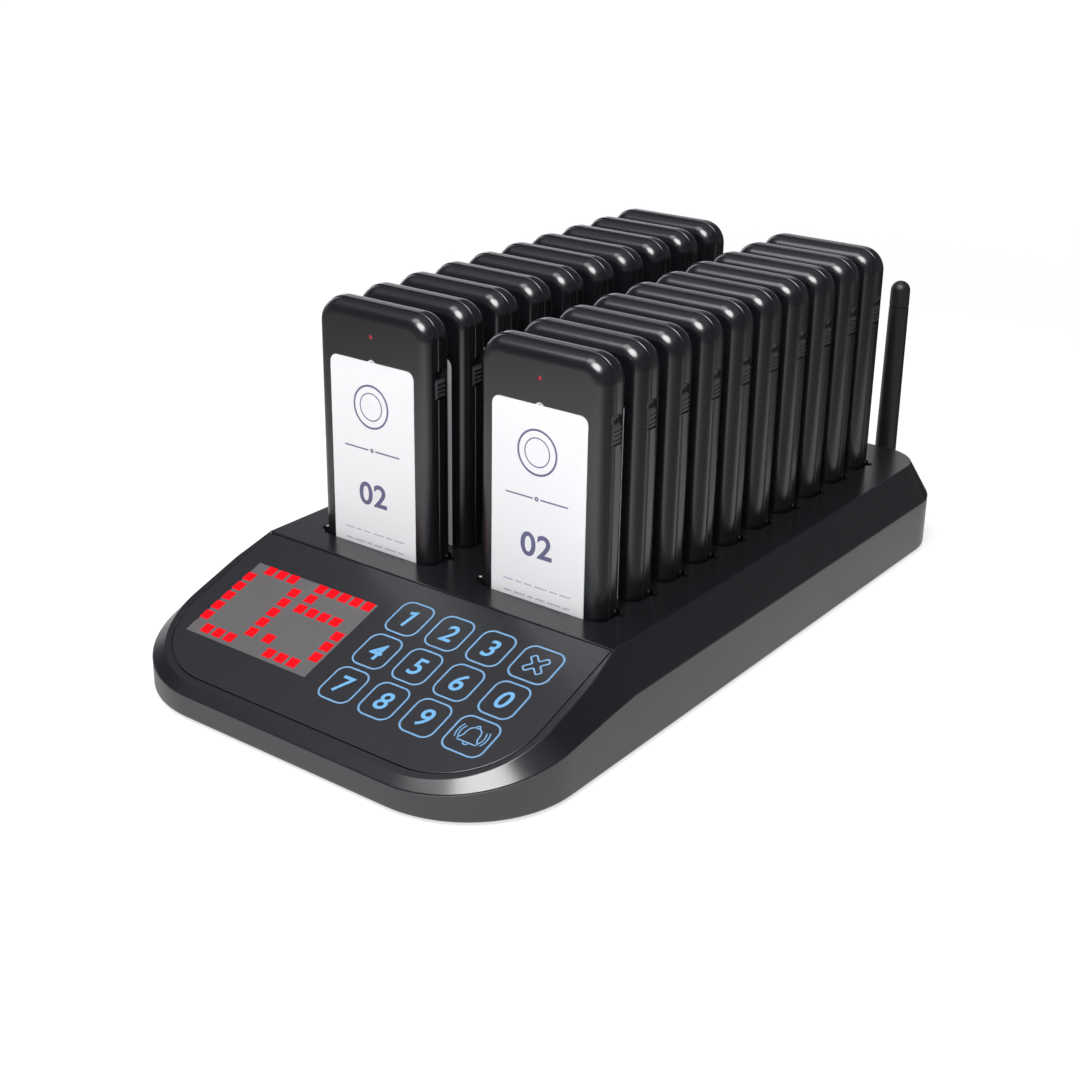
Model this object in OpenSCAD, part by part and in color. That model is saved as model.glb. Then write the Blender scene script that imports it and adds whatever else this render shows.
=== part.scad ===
// Guest pager system: a charging base with a keypad console and twenty
// coaster pagers that stand in two rows of slots.
// Millimetres. +Z is up, the console faces -Y, and the origin lies on the table
// under the middle of the whole object.

/* [Pager] */
// Width of a pager
pager_w = 51.4; // [48:0.2:56]
// Height of a pager
pager_h = 110; // [104:1:120]
// Thickness of a pager, front face to back face
pager_t = 12.9; // [12.5:0.1:14]
// Corner radius of a pager, seen from the front
pager_corner_r = 9; // [7:0.5:11]
// Wall of the pager's two shells
pager_wall = 1.6; // [1.3:0.1:1.8]
// Depth of the front shell, face to parting line
front_shell_t = 6; // [5.6:0.1:6.4]
// How far the front shell's face stands in from its side
front_round = 5.2; // [4:0.1:5.6]
// Radius of the back shell's edge
back_round = 5; // [4:0.1:5.4]
// Step from the front shell in to the back shell
shell_step = 0.35; // [0.2:0.05:0.5]
// Width of the number card
card_w = 37.7; // [34:0.1:39]
// Height of the number card
card_h = 75; // [68:1:78]
// Thickness of the number card
card_t = 0.4; // [0.3:0.1:0.6]
// Drop from the pager's top to the card's top edge
card_drop = 19.5; // [17:0.5:24]
// Radius of the thumb notch over the card
thumb_r = 2.6; // [2:0.1:3.5]
// Drop from the pager's top to the status lamp
lamp_drop = 10.6; // [9.5:0.1:13]
// Radius of the status lamp's lens
lamp_r = 1.2; // [0.8:0.1:1.5]

/* [Slide switch] */
// Length of the switch knob
knob_l = 6.6; // [6:0.1:8]
// Width of the switch knob, front to back
knob_w = 4.4; // [4:0.1:5]
// Travel of the switch knob
knob_travel = 2.4; // [1.5:0.1:3]
// Drop from the pager's top to the knob's lower end
knob_drop = 28.6; // [26:0.2:32]
// Number of ribs on the knob
knob_ribs = 5; // [3:1:7]

/* [Pager rows] */
// Distance between the middles of the two rows
row_spacing = 71; // [68:0.5:84]
// Distance from one pager to the next in a row
pager_pitch = 19.6; // [19:0.1:24]
// Depth of a pager in its slot
slot_depth = 22.3; // [18:0.1:23]
// Gap all round a pager in its slot
slot_gap = 0.5; // [0.4:0.1:0.9]
// Corner radius of a slot
slot_corner_r = 4; // [3:0.5:4.5]
// Radius of the small notch at each end of a slot
notch_r = 1.6; // [1:0.1:2]

/* [Base casing] */
// From the side of a row to the side of the base
side_margin = 22.1; // [21:0.1:30]
// From the last pager's back to the rear wall
rear_margin = 27.2; // [25:0.1:40]
// Flat strip from the console's ridge to the first pager
front_strip = 11.8; // [8:0.1:16]
// Length of the console zone, front wall to ridge
console_l = 72.8; // [72:0.1:90]
// Height of the flat top over the table
top_h = 35.1; // [34:0.1:40]
// Height of the parting line over the table, beside the pagers
band_h = 21.7; // [20.5:0.1:23]
// Height of the parting line over the table, at the front
nose_h = 9.2; // [8.5:0.1:10]
// Slope of the console in degrees
console_slope = 18.66; // [18.2:0.02:19.2]
// Run of the slanted shoulder along the sides and the rear
shoulder_run = 7.9; // [6:0.1:9]
// Run of the lip along the front
nose_run = 5.6; // [4.5:0.1:6.5]
// Radius of the base's front corners
front_r = 39.8; // [34:0.2:44]
// Radius of the base's rear corners
rear_r = 24; // [18:0.5:28]
// Wall of the casing
wall = 2.2; // [2:0.1:2.5]

/* [Console] */
// Thickness of the keypad overlay
overlay_t = 0.8; // [0.5:0.1:1]
// Rim of casing left round the overlay
overlay_rim = 0.8; // [0.5:0.1:1.5]
// Groove between the overlay and its rim
overlay_groove = 0.3; // [0.2:0.05:0.5]
// Width of the display window
window_w = 55.8; // [52:0.2:57]
// Length of the display window, down the slope
window_l = 38; // [37.6:0.2:39]
// Middle of the display window, left of the base's middle
window_x = 38.2; // [37.4:0.1:39]
// From the ridge down the slope to the display window
window_s = 15.5; // [13:0.1:17]
// Pitch of the display's dots
dot_pitch = 5.39; // [5:0.01:5.4]
// Side of one square dot
dot_side = 4.2; // [3.6:0.1:4.6]
// Distance between the middles of the two digits
digit_spacing = 29.5; // [29.4:0.1:29.8]
// Height of a display module, board to face
module_h = 6.5; // [6:0.1:7]

/* [Boards] */
// Thickness of every circuit board in the base
board_t = 1.6; // [1.2:0.1:2]
// Floor of the slot pockets
pocket_floor = 1.5; // [1.2:0.1:2]
// Wall of the slot pockets
pocket_wall = 1.2; // [1:0.1:1.5]
// Radius of a charging pin's body
pin_r = 1; // [0.8:0.1:1.2]
// Distance between the two charging pins of a slot
pin_spacing = 16; // [12:0.5:20]

/* [Fasteners and feet] */
// Height of the casing over the table
foot_stand = 1; // [0.6:0.1:1.6]
// Radius of a rubber foot
foot_r = 7; // [5:0.5:8]
// Depth of a foot in its recess
foot_recess = 1.2; // [0.8:0.1:1.3]
// Shank radius of a casing screw
screw_r = 1.5; // [1.2:0.1:1.7]
// Head radius of a casing screw
screw_head_r = 2.8; // [2.4:0.1:3]
// Radius of the screw bosses
boss_r = 4.2; // [4:0.1:4.5]
// Clearance round screws, feet, lenses and other seated round parts
seat_gap = 0.05; // [0.03:0.01:0.1]

/* [Antenna] */
// Height of the whip's tip over the table, whip upright
antenna_top = 99.5; // [90:0.5:120]
// Radius of the whip at its foot
whip_r = 4.4; // [4:0.1:4.6]
// Radius of the whip at its tip
whip_tip_r = 3.9; // [3.4:0.1:4]
// Height of the antenna's socket over the table
socket_h = 12; // [11:0.1:13]
// Distance of the antenna from the base's middle
antenna_x = 49; // [44:0.5:52]
// From the rear wall to the tilt axis
pivot_reach = 12.5; // [12:0.1:15]
// Radius of the knuckle
knuckle_r = 4.8; // [4.7:0.1:5.2]
// Thickness of the tongue between the knuckle's ears
tongue_t = 4; // [3.4:0.1:4.6]
// Side gap of the tongue
tongue_gap = 0.2; // [0.1:0.05:0.3]
// Running clearance of the antenna's two pivots
pivot_gap = 0.06; // [0.03:0.01:0.09]

/* [Power inlet] */
// Distance of the power inlet from the base's middle
inlet_x = -36; // [-50:1:-33]
// Radius of the inlet's collar
inlet_r = 4; // [3.8:0.1:4.5]
// Radius of the inlet's bore
inlet_bore_r = 2.8; // [2.5:0.1:3]

/* [Hidden] */
PER_ROW = 10;
PAGERS = 2 * PER_ROW;

// Overall places, worked out from the sizes above.
base_w = row_spacing + pager_w + 2 * side_margin;
row_l = (PER_ROW - 1) * pager_pitch + pager_t;
base_l = console_l + front_strip + row_l + rear_margin;
antenna_reach = pivot_reach + knuckle_r;
front_y = -(base_l + antenna_reach) / 2;
rear_y = front_y + base_l;
ridge_y = front_y + console_l;
first_y = ridge_y + front_strip;
half_w = base_w / 2;
seat_z = top_h - slot_depth;
ceiling_z = top_h - wall;
floor_z = foot_stand + wall;
band_drop = band_h - nose_h;
corner_cut = 8;               // how much less radius the top edge's corners have
parting_steps = 10;
line_gap = 0.04;              // line left between pieces that lie against each other

// The parting line falls in a gentle curve over the console zone.
function band_fall(t) = band_drop * (0.67 * t + 0.33 * t * t);
function band_z(y) = band_h - band_fall(max(0, ridge_y - y) / console_l);
// The console is a plane through the ridge.
function console_z(y) = min(top_h, top_h - (ridge_y - y) * tan(console_slope));

function arc(cx, cy, r, a0, a1, n) =
    [for (i = [0:n]) let (a = a0 + (a1 - a0) * i / n) [cx + r * cos(a), cy + r * sin(a)]];
// A rectangle from y0 to y1 with radius r0 at the y0 end and r1 at the y1 end.
function outline(hw, y0, y1, r0, r1, n) = concat(
    arc(-hw + r0, y0 + r0, r0, 180, 270, n),
    arc(hw - r0, y0 + r0, r0, 270, 360, n),
    arc(hw - r1, y1 - r1, r1, 0, 90, n),
    arc(-hw + r1, y1 - r1, r1, 90, 180, n));

// The convex body round a set of points.
module cloud(points) {
    hull() polyhedron(points = points, faces = [[for (i = [0:len(points) - 1]) i]]);
}
// An outline in the XZ plane, extruded from y0 to y1.
module slab_xz(points, y0, y1) {
    translate([0, y1, 0]) rotate([90, 0, 0]) linear_extrude(y1 - y0) polygon(points);
}
// An outline in the YZ plane, extruded from x0 to x1.
module slab_yz(points, x0, x1) {
    translate([x0, 0, 0]) rotate([90, 0, 90]) linear_extrude(x1 - x0) polygon(points);
}
// A round bar along Y, and one along X.
module bar_y(x, z, r, y0, y1) {
    translate([x, y0, z]) rotate([-90, 0, 0]) cylinder(r = r, h = y1 - y0, $fn = 48);
}
module bar_x(y, z, r, x0, x1) {
    translate([x0, y, z]) rotate([0, 90, 0]) cylinder(r = r, h = x1 - x0, $fn = 48);
}
module post(x, y, r, z0, z1) {
    translate([x, y, z0]) cylinder(r = r, h = z1 - z0, $fn = 36);
}
module block(x0, x1, y0, y1, z0, z1) {
    translate([x0, y0, z0]) cube([x1 - x0, y1 - y0, z1 - z0]);
}

// ---------------------------------------------------------------- base form
// The base's outer form, or the same form inset by a wall.
module base_form(inset, z0) {
    hw = half_w - inset;
    lower = outline(hw, front_y + inset, rear_y - inset, front_r - inset, rear_r - inset, 10);
    top_hw = hw - shoulder_run;
    upper = outline(top_hw, front_y + nose_run + inset, rear_y - shoulder_run - inset,
        front_r - corner_cut - inset, rear_r - corner_cut - inset, 10);
    cloud(concat(
        [for (p = lower) [p.x, p.y, z0]],
        [for (p = lower) [p.x, p.y, band_z(p.y)]],
        [for (s = [-1, 1]) [s * hw, ridge_y, band_h]],
        [for (p = upper) [p.x, p.y, console_z(p.y) - inset]],
        [for (s = [-1, 1]) [s * top_hw, ridge_y, top_h - inset]]));
}
// Everything under the parting line, as wide as needed.
module under_parting() {
    far = half_w + 10;
    curve = [for (i = [0:parting_steps])
        let (y = ridge_y - console_l * i / parting_steps) [y, band_z(y)]];
    slab_yz(concat(
        [[rear_y + 10, -10], [rear_y + 10, band_h]],
        curve,
        [[front_y - 10, nose_h], [front_y - 10, -10]]), -far, far);
}
// Places on the console: x, and s down the slope from the ridge.
module on_console() {
    translate([0, ridge_y, top_h]) rotate([console_slope, 0, 0]) children();
}
// Overlay outline in the console's own plane, inset by a given amount.
function overlay_outline(inset) =
    let (s1 = (console_l - nose_run) / cos(console_slope))
    outline(half_w - shoulder_run - inset, -s1 + inset, -inset,
        front_r - corner_cut - inset, 0.6, 12);

boss_top_y = rear_y - 15.6;
boss_places = [
    [-half_w + 11.6, ridge_y - 8], [half_w - 11.6, ridge_y - 8],
    [-half_w + 14, first_y + 45], [half_w - 14, first_y + 45],
    [-half_w + 14, first_y + 150], [half_w - 14, first_y + 150],
    [-22, boss_top_y], [22, boss_top_y]];
boss_split = 14;
head_seat = foot_stand + 5;
foot_places = [
    [-half_w + 23, front_y + 34], [half_w - 23, front_y + 34],
    [-half_w + 23, rear_y - 27], [half_w - 23, rear_y - 27]];

// Slots: the cut in the casing and the pocket below it share one outline.
slot_hw = pager_w / 2 + slot_gap;
function slot_x(i) = (i < PER_ROW ? -0.5 : 0.5) * row_spacing;
function slot_y(i) = first_y + (i % PER_ROW) * pager_pitch;
function slot_outline(grow) = outline(slot_hw + grow, -slot_gap - grow,
    pager_t + slot_gap + grow, slot_corner_r + grow, slot_corner_r + grow, 4);
notch_set_in = 3.2;
module slot_cut(z0, z1) {
    translate([0, 0, z0]) linear_extrude(z1 - z0) {
        polygon(slot_outline(0));
        translate([-slot_hw, notch_set_in]) circle(r = notch_r, $fn = 12);
        translate([slot_hw, pager_t - notch_set_in]) circle(r = notch_r, $fn = 12);
    }
}

// Display modules and their opening, in the console's own plane.
module_w = digit_spacing - 0.2;
module_l = 7 * dot_pitch;
opening_w = 2 * digit_spacing + 0.6;
opening_l = module_l + 1;
window_mid_s = window_s + window_l / 2;
panel_z = -overlay_t;          // recess floor under the overlay
module_face = panel_z - 0.1;

module upper_casing() {
    color("#232325") difference() {
        union() {
            difference() {
                base_form(0, foot_stand);
                under_parting();
                base_form(wall, floor_z);
            }
            intersection() {
                base_form(wall / 2, foot_stand);
                union() {
                    for (p = boss_places)
                        post(p.x, p.y, boss_r, boss_split, top_h);
                }
            }
        }
        for (i = [0:PAGERS - 1])
            translate([slot_x(i), slot_y(i), 0]) slot_cut(ceiling_z - 1, top_h + 1);
        on_console() {
            translate([0, 0, panel_z]) linear_extrude(5)
                polygon(overlay_outline(overlay_rim));
            block(-window_x - opening_w / 2, -window_x + opening_w / 2,
                -window_mid_s - opening_l / 2, -window_mid_s + opening_l / 2, -8, 1);
        }
        for (p = boss_places)
            post(p.x, p.y, screw_r + seat_gap, boss_split - 1, boss_split + 7);
    }
}

post_places = [for (i = [0:3]) first_y + 15 + i * (row_l - 30) / 3];
pin_y = 8.6;
charge_top = seat_z - pocket_floor;
charge_bottom = charge_top - board_t;
main_z = floor_z + 3;
main_clear = 1;                // from the main board up to the display's carrier board
main_rear = ridge_y - 6;
// The main board reaches forward to where the display's carrier comes down to it.
carrier_drop = module_h + board_t - module_face;
main_front = ridge_y - (top_h - carrier_drop / cos(console_slope)
    - main_z - board_t - main_clear) / tan(console_slope);
main_hw = 50;
socket_r = 3.1;

module lower_casing() {
    color("#262628") difference() {
        union() {
            difference() {
                intersection() {
                    base_form(0, foot_stand);
                    under_parting();
                }
                base_form(wall, floor_z);
            }
            for (p = boss_places)
                post(p.x, p.y, boss_r, foot_stand + 0.5, boss_split);
            for (s = [-1, 1], y = post_places, d = [-18, 18])
                post(s * row_spacing / 2 + d, y, 3, floor_z - 0.5, charge_bottom);
            for (x = [-main_hw + 5, main_hw - 5], y = [main_front + 5, main_rear - 5])
                post(x, y, 3, floor_z - 0.5, main_z);
        }
        for (p = boss_places) {
            post(p.x, p.y, screw_head_r + 0.4, 0, head_seat);
            post(p.x, p.y, screw_r + 0.2, 0, boss_split + 1);
        }
        for (p = foot_places)
            post(p.x, p.y, foot_r + seat_gap, 0, foot_stand + foot_recess);
        bar_y(antenna_x, socket_h, socket_r + seat_gap, rear_y - wall - 1, rear_y + 1);
        bar_y(inlet_x, socket_h, inlet_r + seat_gap, rear_y - wall - 1, rear_y + 1);
    }
}

// Two trays of ten pockets hang under the casing's slots.
module slot_pockets() {
    tray_hw = slot_hw + pocket_wall + notch_r;
    tray_y0 = first_y - slot_gap - pocket_wall;
    tray_y1 = first_y + row_l + slot_gap + pocket_wall;
    gap_l = pager_pitch - pager_t - 2 * slot_gap - 2 * pocket_wall;
    for (row = [0, 1]) color("#2c2c2e") difference() {
        translate([slot_x(row * PER_ROW), 0, 0])
            block(-tray_hw, tray_hw, tray_y0, tray_y1, charge_top, ceiling_z);
        for (k = [0:PER_ROW - 1]) let (i = row * PER_ROW + k)
            translate([slot_x(i), slot_y(i), 0]) {
                slot_cut(seat_z, ceiling_z + 1);
                for (d = [-0.5, 0.5])
                    post(d * pin_spacing, pin_y, pin_r + 0.3, 0, seat_z + 1);
                if (k < PER_ROW - 1)
                    block(-tray_hw + pocket_wall, tray_hw - pocket_wall,
                        pager_t + slot_gap + pocket_wall,
                        pager_t + slot_gap + pocket_wall + gap_l,
                        charge_top - 1, ceiling_z - pocket_wall);
            }
    }
}

module keypad_overlay() {
    color("#1b1b1d") on_console() difference() {
        translate([0, 0, panel_z]) linear_extrude(overlay_t)
            polygon(overlay_outline(overlay_rim + overlay_groove));
        block(-window_x - window_w / 2, -window_x + window_w / 2,
            -window_s - window_l, -window_s, panel_z - 1, 1);
    }
}

window_gap = 0.05;
module display_window() {
    color("#6a6a6c") on_console()
        block(-window_x - window_w / 2 + window_gap, -window_x + window_w / 2 - window_gap,
            -window_s - window_l + window_gap, -window_s - window_gap, panel_z, 0);
}

// Two modules of 5 by 7 square dots on one carrier board.
module led_matrix() {
    dot_rise = 0.3;
    on_console() {
        for (d = [-0.5, 0.5]) translate([-window_x + d * digit_spacing, -window_mid_s, 0]) {
            color("#4a4a4c")
                block(-module_w / 2, module_w / 2, -module_l / 2, module_l / 2,
                    module_face - module_h + line_gap, module_face - dot_rise);
            color("#b8181c")
                for (c = [-2:2], r = [-3:3])
                    translate([c * dot_pitch, r * dot_pitch, 0])
                        block(-dot_side / 2, dot_side / 2, -dot_side / 2, dot_side / 2,
                            module_face - dot_rise, module_face);
        }
        color("#1d5a34")
            block(-window_x - opening_w / 2, -window_x + opening_w / 2,
                -window_mid_s - module_l / 2, -window_mid_s + module_l / 2,
                module_face - module_h - board_t, module_face - module_h);
    }
}

// The touch keypad's board lies against the inside of the console.
key_board_x0 = -window_x + opening_w / 2 + 2.4;
key_board_x1 = half_w - shoulder_run - wall - 6.7;
key_board_s0 = 8;
key_board_s1 = 58;
module keypad_board() {
    under = -wall - 0.15;
    color("#1d5a34") on_console()
        block(key_board_x0, key_board_x1, -key_board_s1, -key_board_s0, under - board_t, under);
}

// The main board, with its radio module, processor, sounder and connectors.
module main_board() {
    top = main_z + board_t + line_gap;
    color("#1d5a34") block(-main_hw, main_hw, main_front, main_rear, main_z, main_z + board_t);
    color("#b9bbbd") block(18, 36, main_rear - 20, main_rear - 6, top, top + 2.6);
    color("#202022") block(-12, -2, main_front + 16, main_front + 26, top, top + 1.4);
    color("#202022") post(4, main_rear - 10, 6, top, top + 5);
    color("#e8e4d8") block(-44, -30, main_rear - 7, main_rear - 2, top, top + 5);
    color("#e8e4d8") block(30, 44, main_front + 3, main_front + 7, top, top + 4);
}

module charging_boards() {
    for (s = [-1, 1]) color("#1d5a34")
        translate([s * row_spacing / 2, 0, 0])
            block(-25, 25, first_y, first_y + row_l, charge_bottom, charge_top);
}

// Two sprung pins stand in the floor of each pocket.
module charge_pins() {
    plunger_l = 0.5;
    for (i = [0:PAGERS - 1], d = [-0.5, 0.5])
        color("#c9a24a") translate([slot_x(i) + d * pin_spacing, slot_y(i) + pin_y, 0]) {
            post(0, 0, pin_r, charge_top, seat_z - plunger_l);
            post(0, 0, pin_r * 0.65, seat_z - plunger_l, seat_z);
        }
}

// ---------------------------------------------------------------- antenna
pivot_y = rear_y + pivot_reach;
socket_end = rear_y + 7;
knuckle_start = rear_y + 3.2;
ear_in = tongue_t / 2 + tongue_gap;
pivot_pin_r = 1.3;
module antenna_socket() {
    color("#b08d3c") difference() {
        translate([antenna_x, rear_y, socket_h]) rotate([-90, 0, 0])
            cylinder(r = 4.9, h = 2.4, $fn = 6);
        bar_y(antenna_x, socket_h, socket_r + seat_gap, rear_y - 1, rear_y + 3);
    }
    color("#b08d3c") {
        bar_y(antenna_x, socket_h, socket_r, rear_y - 7, socket_end);
        block(antenna_x - 4.4, antenna_x + 4.4, rear_y - wall - 3, rear_y - wall,
            socket_h - 4.4, socket_h + 4.4);
    }
}

module antenna_knuckle() {
    cheek = pivot_y - knuckle_r - 0.3;
    color("#1c1c1e") difference() {
        union() {
            bar_y(antenna_x, socket_h, knuckle_r, knuckle_start, cheek);
            for (s = [-1, 1]) intersection() {
                union() {
                    bar_x(pivot_y, socket_h, knuckle_r, antenna_x - 5, antenna_x + 5);
                    block(antenna_x - 5, antenna_x + 5, cheek - 0.5, pivot_y,
                        socket_h - knuckle_r, socket_h + knuckle_r);
                }
                bar_y(antenna_x, socket_h, knuckle_r, cheek - 0.5, pivot_y + knuckle_r);
                block(antenna_x + (s > 0 ? ear_in : -5), antenna_x + (s > 0 ? 5 : -ear_in),
                    cheek - 1, pivot_y + 6, 0, 2 * socket_h);
            }
            bar_x(pivot_y, socket_h, pivot_pin_r, antenna_x - ear_in - 0.5,
                antenna_x + ear_in + 0.5);
        }
        bar_y(antenna_x, socket_h, socket_r + pivot_gap, knuckle_start - 1, socket_end + 0.4);
    }
}

// The whip's profile: foot, long taper, a groove below the tip, a round tip.
tongue_r = knuckle_r - 0.3;
whip_start = knuckle_r + 0.5;
groove_drop = 10.5;
function whip_radius(z) =
    whip_r + (whip_tip_r - whip_r) * (z - whip_start) / (antenna_top - socket_h - whip_start);
module antenna_whip() {
    tip = antenna_top - socket_h;
    dome = tip - whip_tip_r;
    groove = tip - groove_drop;
    color("#17171a") translate([antenna_x, pivot_y, socket_h]) difference() {
        union() {
            rotate_extrude($fn = 48) polygon(concat(
                [[0, whip_start], [whip_r - 0.5, whip_start], [whip_r, whip_start + 0.5],
                    [whip_radius(groove - 0.4), groove - 0.4],
                    [whip_radius(groove) - 0.3, groove],
                    [whip_radius(groove + 0.4), groove + 0.4]],
                [for (a = [0:10:80]) [whip_tip_r * cos(a), dome + whip_tip_r * sin(a)]],
                [[0, tip]]));
            intersection() {
                union() {
                    bar_x(0, 0, tongue_r, -tongue_t / 2, tongue_t / 2);
                    block(-tongue_t / 2, tongue_t / 2, -3.6, 3.6, 0, whip_start + 0.5);
                }
                translate([0, 0, -6]) cylinder(r = tongue_r, h = 20, $fn = 48);
            }
        }
        bar_x(0, 0, pivot_pin_r + pivot_gap, -5, 5);
    }
}

module power_inlet() {
    inner = rear_y - wall;
    color("#161618") difference() {
        union() {
            block(inlet_x - 5.5, inlet_x + 5.5, inner - 11, inner, floor_z, socket_h + 5.5);
            bar_y(inlet_x, socket_h, inlet_r, inner - 1, rear_y - 0.2);
        }
        bar_y(inlet_x, socket_h, inlet_bore_r, inner - 9, rear_y + 1);
    }
    color("#c8c8cc") bar_y(inlet_x, socket_h, 1, inner - 9, rear_y - 1.5);
}

module rubber_feet() {
    for (p = foot_places) color("#101012")
        post(p.x, p.y, foot_r, 0, foot_stand + foot_recess);
}

module casing_screws() {
    for (p = boss_places) color("#8d9094") {
        post(p.x, p.y, screw_head_r, head_seat - 2, head_seat);
        post(p.x, p.y, screw_r, head_seat, boss_split + 6);
    }
}

// ---------------------------------------------------------------- pagers
// Loops of the pager's skin at depth y: side_in from the sides and the top.
bottom_r = 6;
bottom_soft = 1.5;             // the foot of a pager is nearly square, to stand on
function pager_loop(y, side_in, n) =
    let (low = min(side_in, bottom_soft))
    [for (p = outline(pager_w / 2 - side_in, low, pager_h - side_in,
        max(1, bottom_r - side_in), pager_corner_r - side_in, n)) [p.x, y, p.y]];
back_mid = pager_t - back_round;
module front_form(extra) {
    cloud(concat(
        [for (a = [0:30:90]) each pager_loop(front_shell_t * (1 - cos(a)) + (a == 0 ? extra : 0),
            front_round * (1 - sin(a)) + extra, extra > 0 ? 3 : 5)],
        pager_loop(front_shell_t + extra * 0.01, extra, extra > 0 ? 3 : 5)));
}
module back_form(extra) {
    cloud(concat(
        pager_loop(front_shell_t + (extra > 0 ? -0.1 : line_gap), shell_step + extra,
            extra > 0 ? 3 : 5),
        [for (a = [0:30:90]) each pager_loop(
            back_mid + (back_round - extra) * sin(a),
            shell_step + extra + (back_round - extra) * (1 - cos(a)), extra > 0 ? 3 : 5)]));
}
knob_z = pager_h - knob_drop;
knob_y = front_shell_t + 0.4;
knob_face = pager_w / 2 - shell_step;
well_floor = knob_face - 1.6;
knob_run = knob_l + knob_travel;
module switch_well() {
    well_gap = 0.3;
    block(well_floor, pager_w, knob_y - knob_w / 2 - well_gap, knob_y + knob_w / 2 + well_gap,
        knob_z - well_gap, knob_z + knob_run + well_gap);
    translate([knob_face + 1.2, knob_y, knob_z + knob_run])
        sphere(r = 2.6, $fn = 24);
    block(pager_w / 2 - 8, pager_w / 2, knob_y - 1.3, knob_y + 1.3,
        knob_z + knob_l / 2 - 1.6, knob_z + knob_l / 2 + 1.6 + knob_travel);
}
card_top = pager_h - card_drop;
function card_outline(gap) = outline(card_w / 2 + gap, card_top - card_h - gap, card_top + gap,
    1, 3, 4);
card_seat = card_t + 0.1;
module pager_front_shell() {
    color("#1e1e20") difference() {
        front_form(0);
        front_form(pager_wall);
        slab_xz(card_outline(0.15), -1, card_seat);
        bar_y(0, card_top, thumb_r, -1, card_seat);
        bar_y(0, pager_h - lamp_drop, lamp_r + seat_gap, -1, pager_wall + 1);
        switch_well();
    }
}
pager_board_y = 7;
pager_board_t = 1.2;
board_low = 7;
contact_r = 1.6;
module pager_back_shell() {
    color("#1b1b1d") difference() {
        union() {
            difference() {
                back_form(0);
                back_form(pager_wall);
            }
            for (x = [-14, 14], z = [20, pager_h - 22])
                bar_y(x, z, 2, pager_board_y + pager_board_t + line_gap,
                    pager_t - pager_wall + 0.4);
        }
        switch_well();
        for (d = [-0.5, 0.5])
            post(d * pin_spacing, pin_y, contact_r + seat_gap, -1, board_low);
    }
}
module pager_card() {
    color("#f2f2f6")
        slab_xz(card_outline(0), card_seat - line_gap - card_t, card_seat - line_gap);
}
// Board with its slide switch, shaker motor, lamp and charging contacts.
module pager_board() {
    back = pager_board_y + pager_board_t;
    color("#1d5a34") block(-20, 20, pager_board_y, back, board_low, pager_h - 6);
    front = pager_board_y - line_gap;
    color("#a8abae") block(well_floor - 8.4, well_floor - 3, knob_y - 2.4, front,
        knob_z - 1, knob_z + knob_run + 1);
    color("#a8abae") bar_y(8, 45, 5, back + line_gap, pager_t - pager_wall - 0.3);
    color("#e04030") bar_y(0, pager_h - lamp_drop, lamp_r, 0.2, front);
    for (d = [-0.5, 0.5]) color("#c9a24a")
        post(d * pin_spacing, pin_y, contact_r, 0, board_low - line_gap);
}
module pager_battery() {
    color("#5b6f8f")
        block(-15, 15, pager_wall + 0.6, pager_board_y - line_gap, 16, 60);
}
module pager_switch() {
    groove = knob_l / (2 * knob_ribs + 1);
    color("#2a2a2c") union() {
        difference() {
            block(well_floor + 0.3, knob_face, knob_y - knob_w / 2, knob_y + knob_w / 2,
                knob_z, knob_z + knob_l);
            for (i = [0:knob_ribs - 1])
                block(knob_face - 0.5, knob_face + 1, knob_y - knob_w, knob_y + knob_w,
                    knob_z + (2 * i + 1) * groove, knob_z + (2 * i + 2) * groove);
        }
        block(well_floor - 2.7, well_floor + 0.5, knob_y - 1, knob_y + 1,
            knob_z + knob_l / 2 - 1.3, knob_z + knob_l / 2 + 1.3);
    }
}
module in_slot(i) {
    translate([slot_x(i), slot_y(i), seat_z]) children();
}
module pager(i) {
    in_slot(i) {
        pager_front_shell();
        pager_back_shell();
        pager_card();
        pager_board();
        pager_battery();
    }
}
function two(n) = n < 10 ? str("0", n) : str(n);

upper_casing();
lower_casing();
slot_pockets();
keypad_overlay();
display_window();
led_matrix();
keypad_board();
main_board();
charging_boards();
charge_pins();
antenna_socket();
antenna_knuckle();
antenna_whip();
power_inlet();
rubber_feet();
casing_screws();
in_slot(0) pager_front_shell();  // pager_01_front_shell
in_slot(0) pager_back_shell();  // pager_01_back_shell
in_slot(0) pager_card();  // pager_01_card
in_slot(0) pager_board();  // pager_01_board
in_slot(0) pager_battery();  // pager_01_battery
for (i = [1:PAGERS - 1])
    pager(i);
for (i = [0:PAGERS - 1])
    in_slot(i) pager_switch();
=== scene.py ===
# %% [markdown]
# # Guest pager system
# A black charging base holds twenty flat pagers in two rows. A console with a
# two-digit display and a printed touch keypad slopes down at the front, and a
# short antenna stands behind. The solid model of every part is loaded first, as
# a fixed frame. This script then dresses it: each visible part gets a finer mesh
# in the same place, or a better finish on the mesh it has. Sizes are the real
# ones in millimetres, and they become metres when a mesh is made.

# %% Load the frame
from math import cos, pi, radians, sin, tan

import bmesh
import bpy
from mathutils import Matrix, Vector


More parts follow.
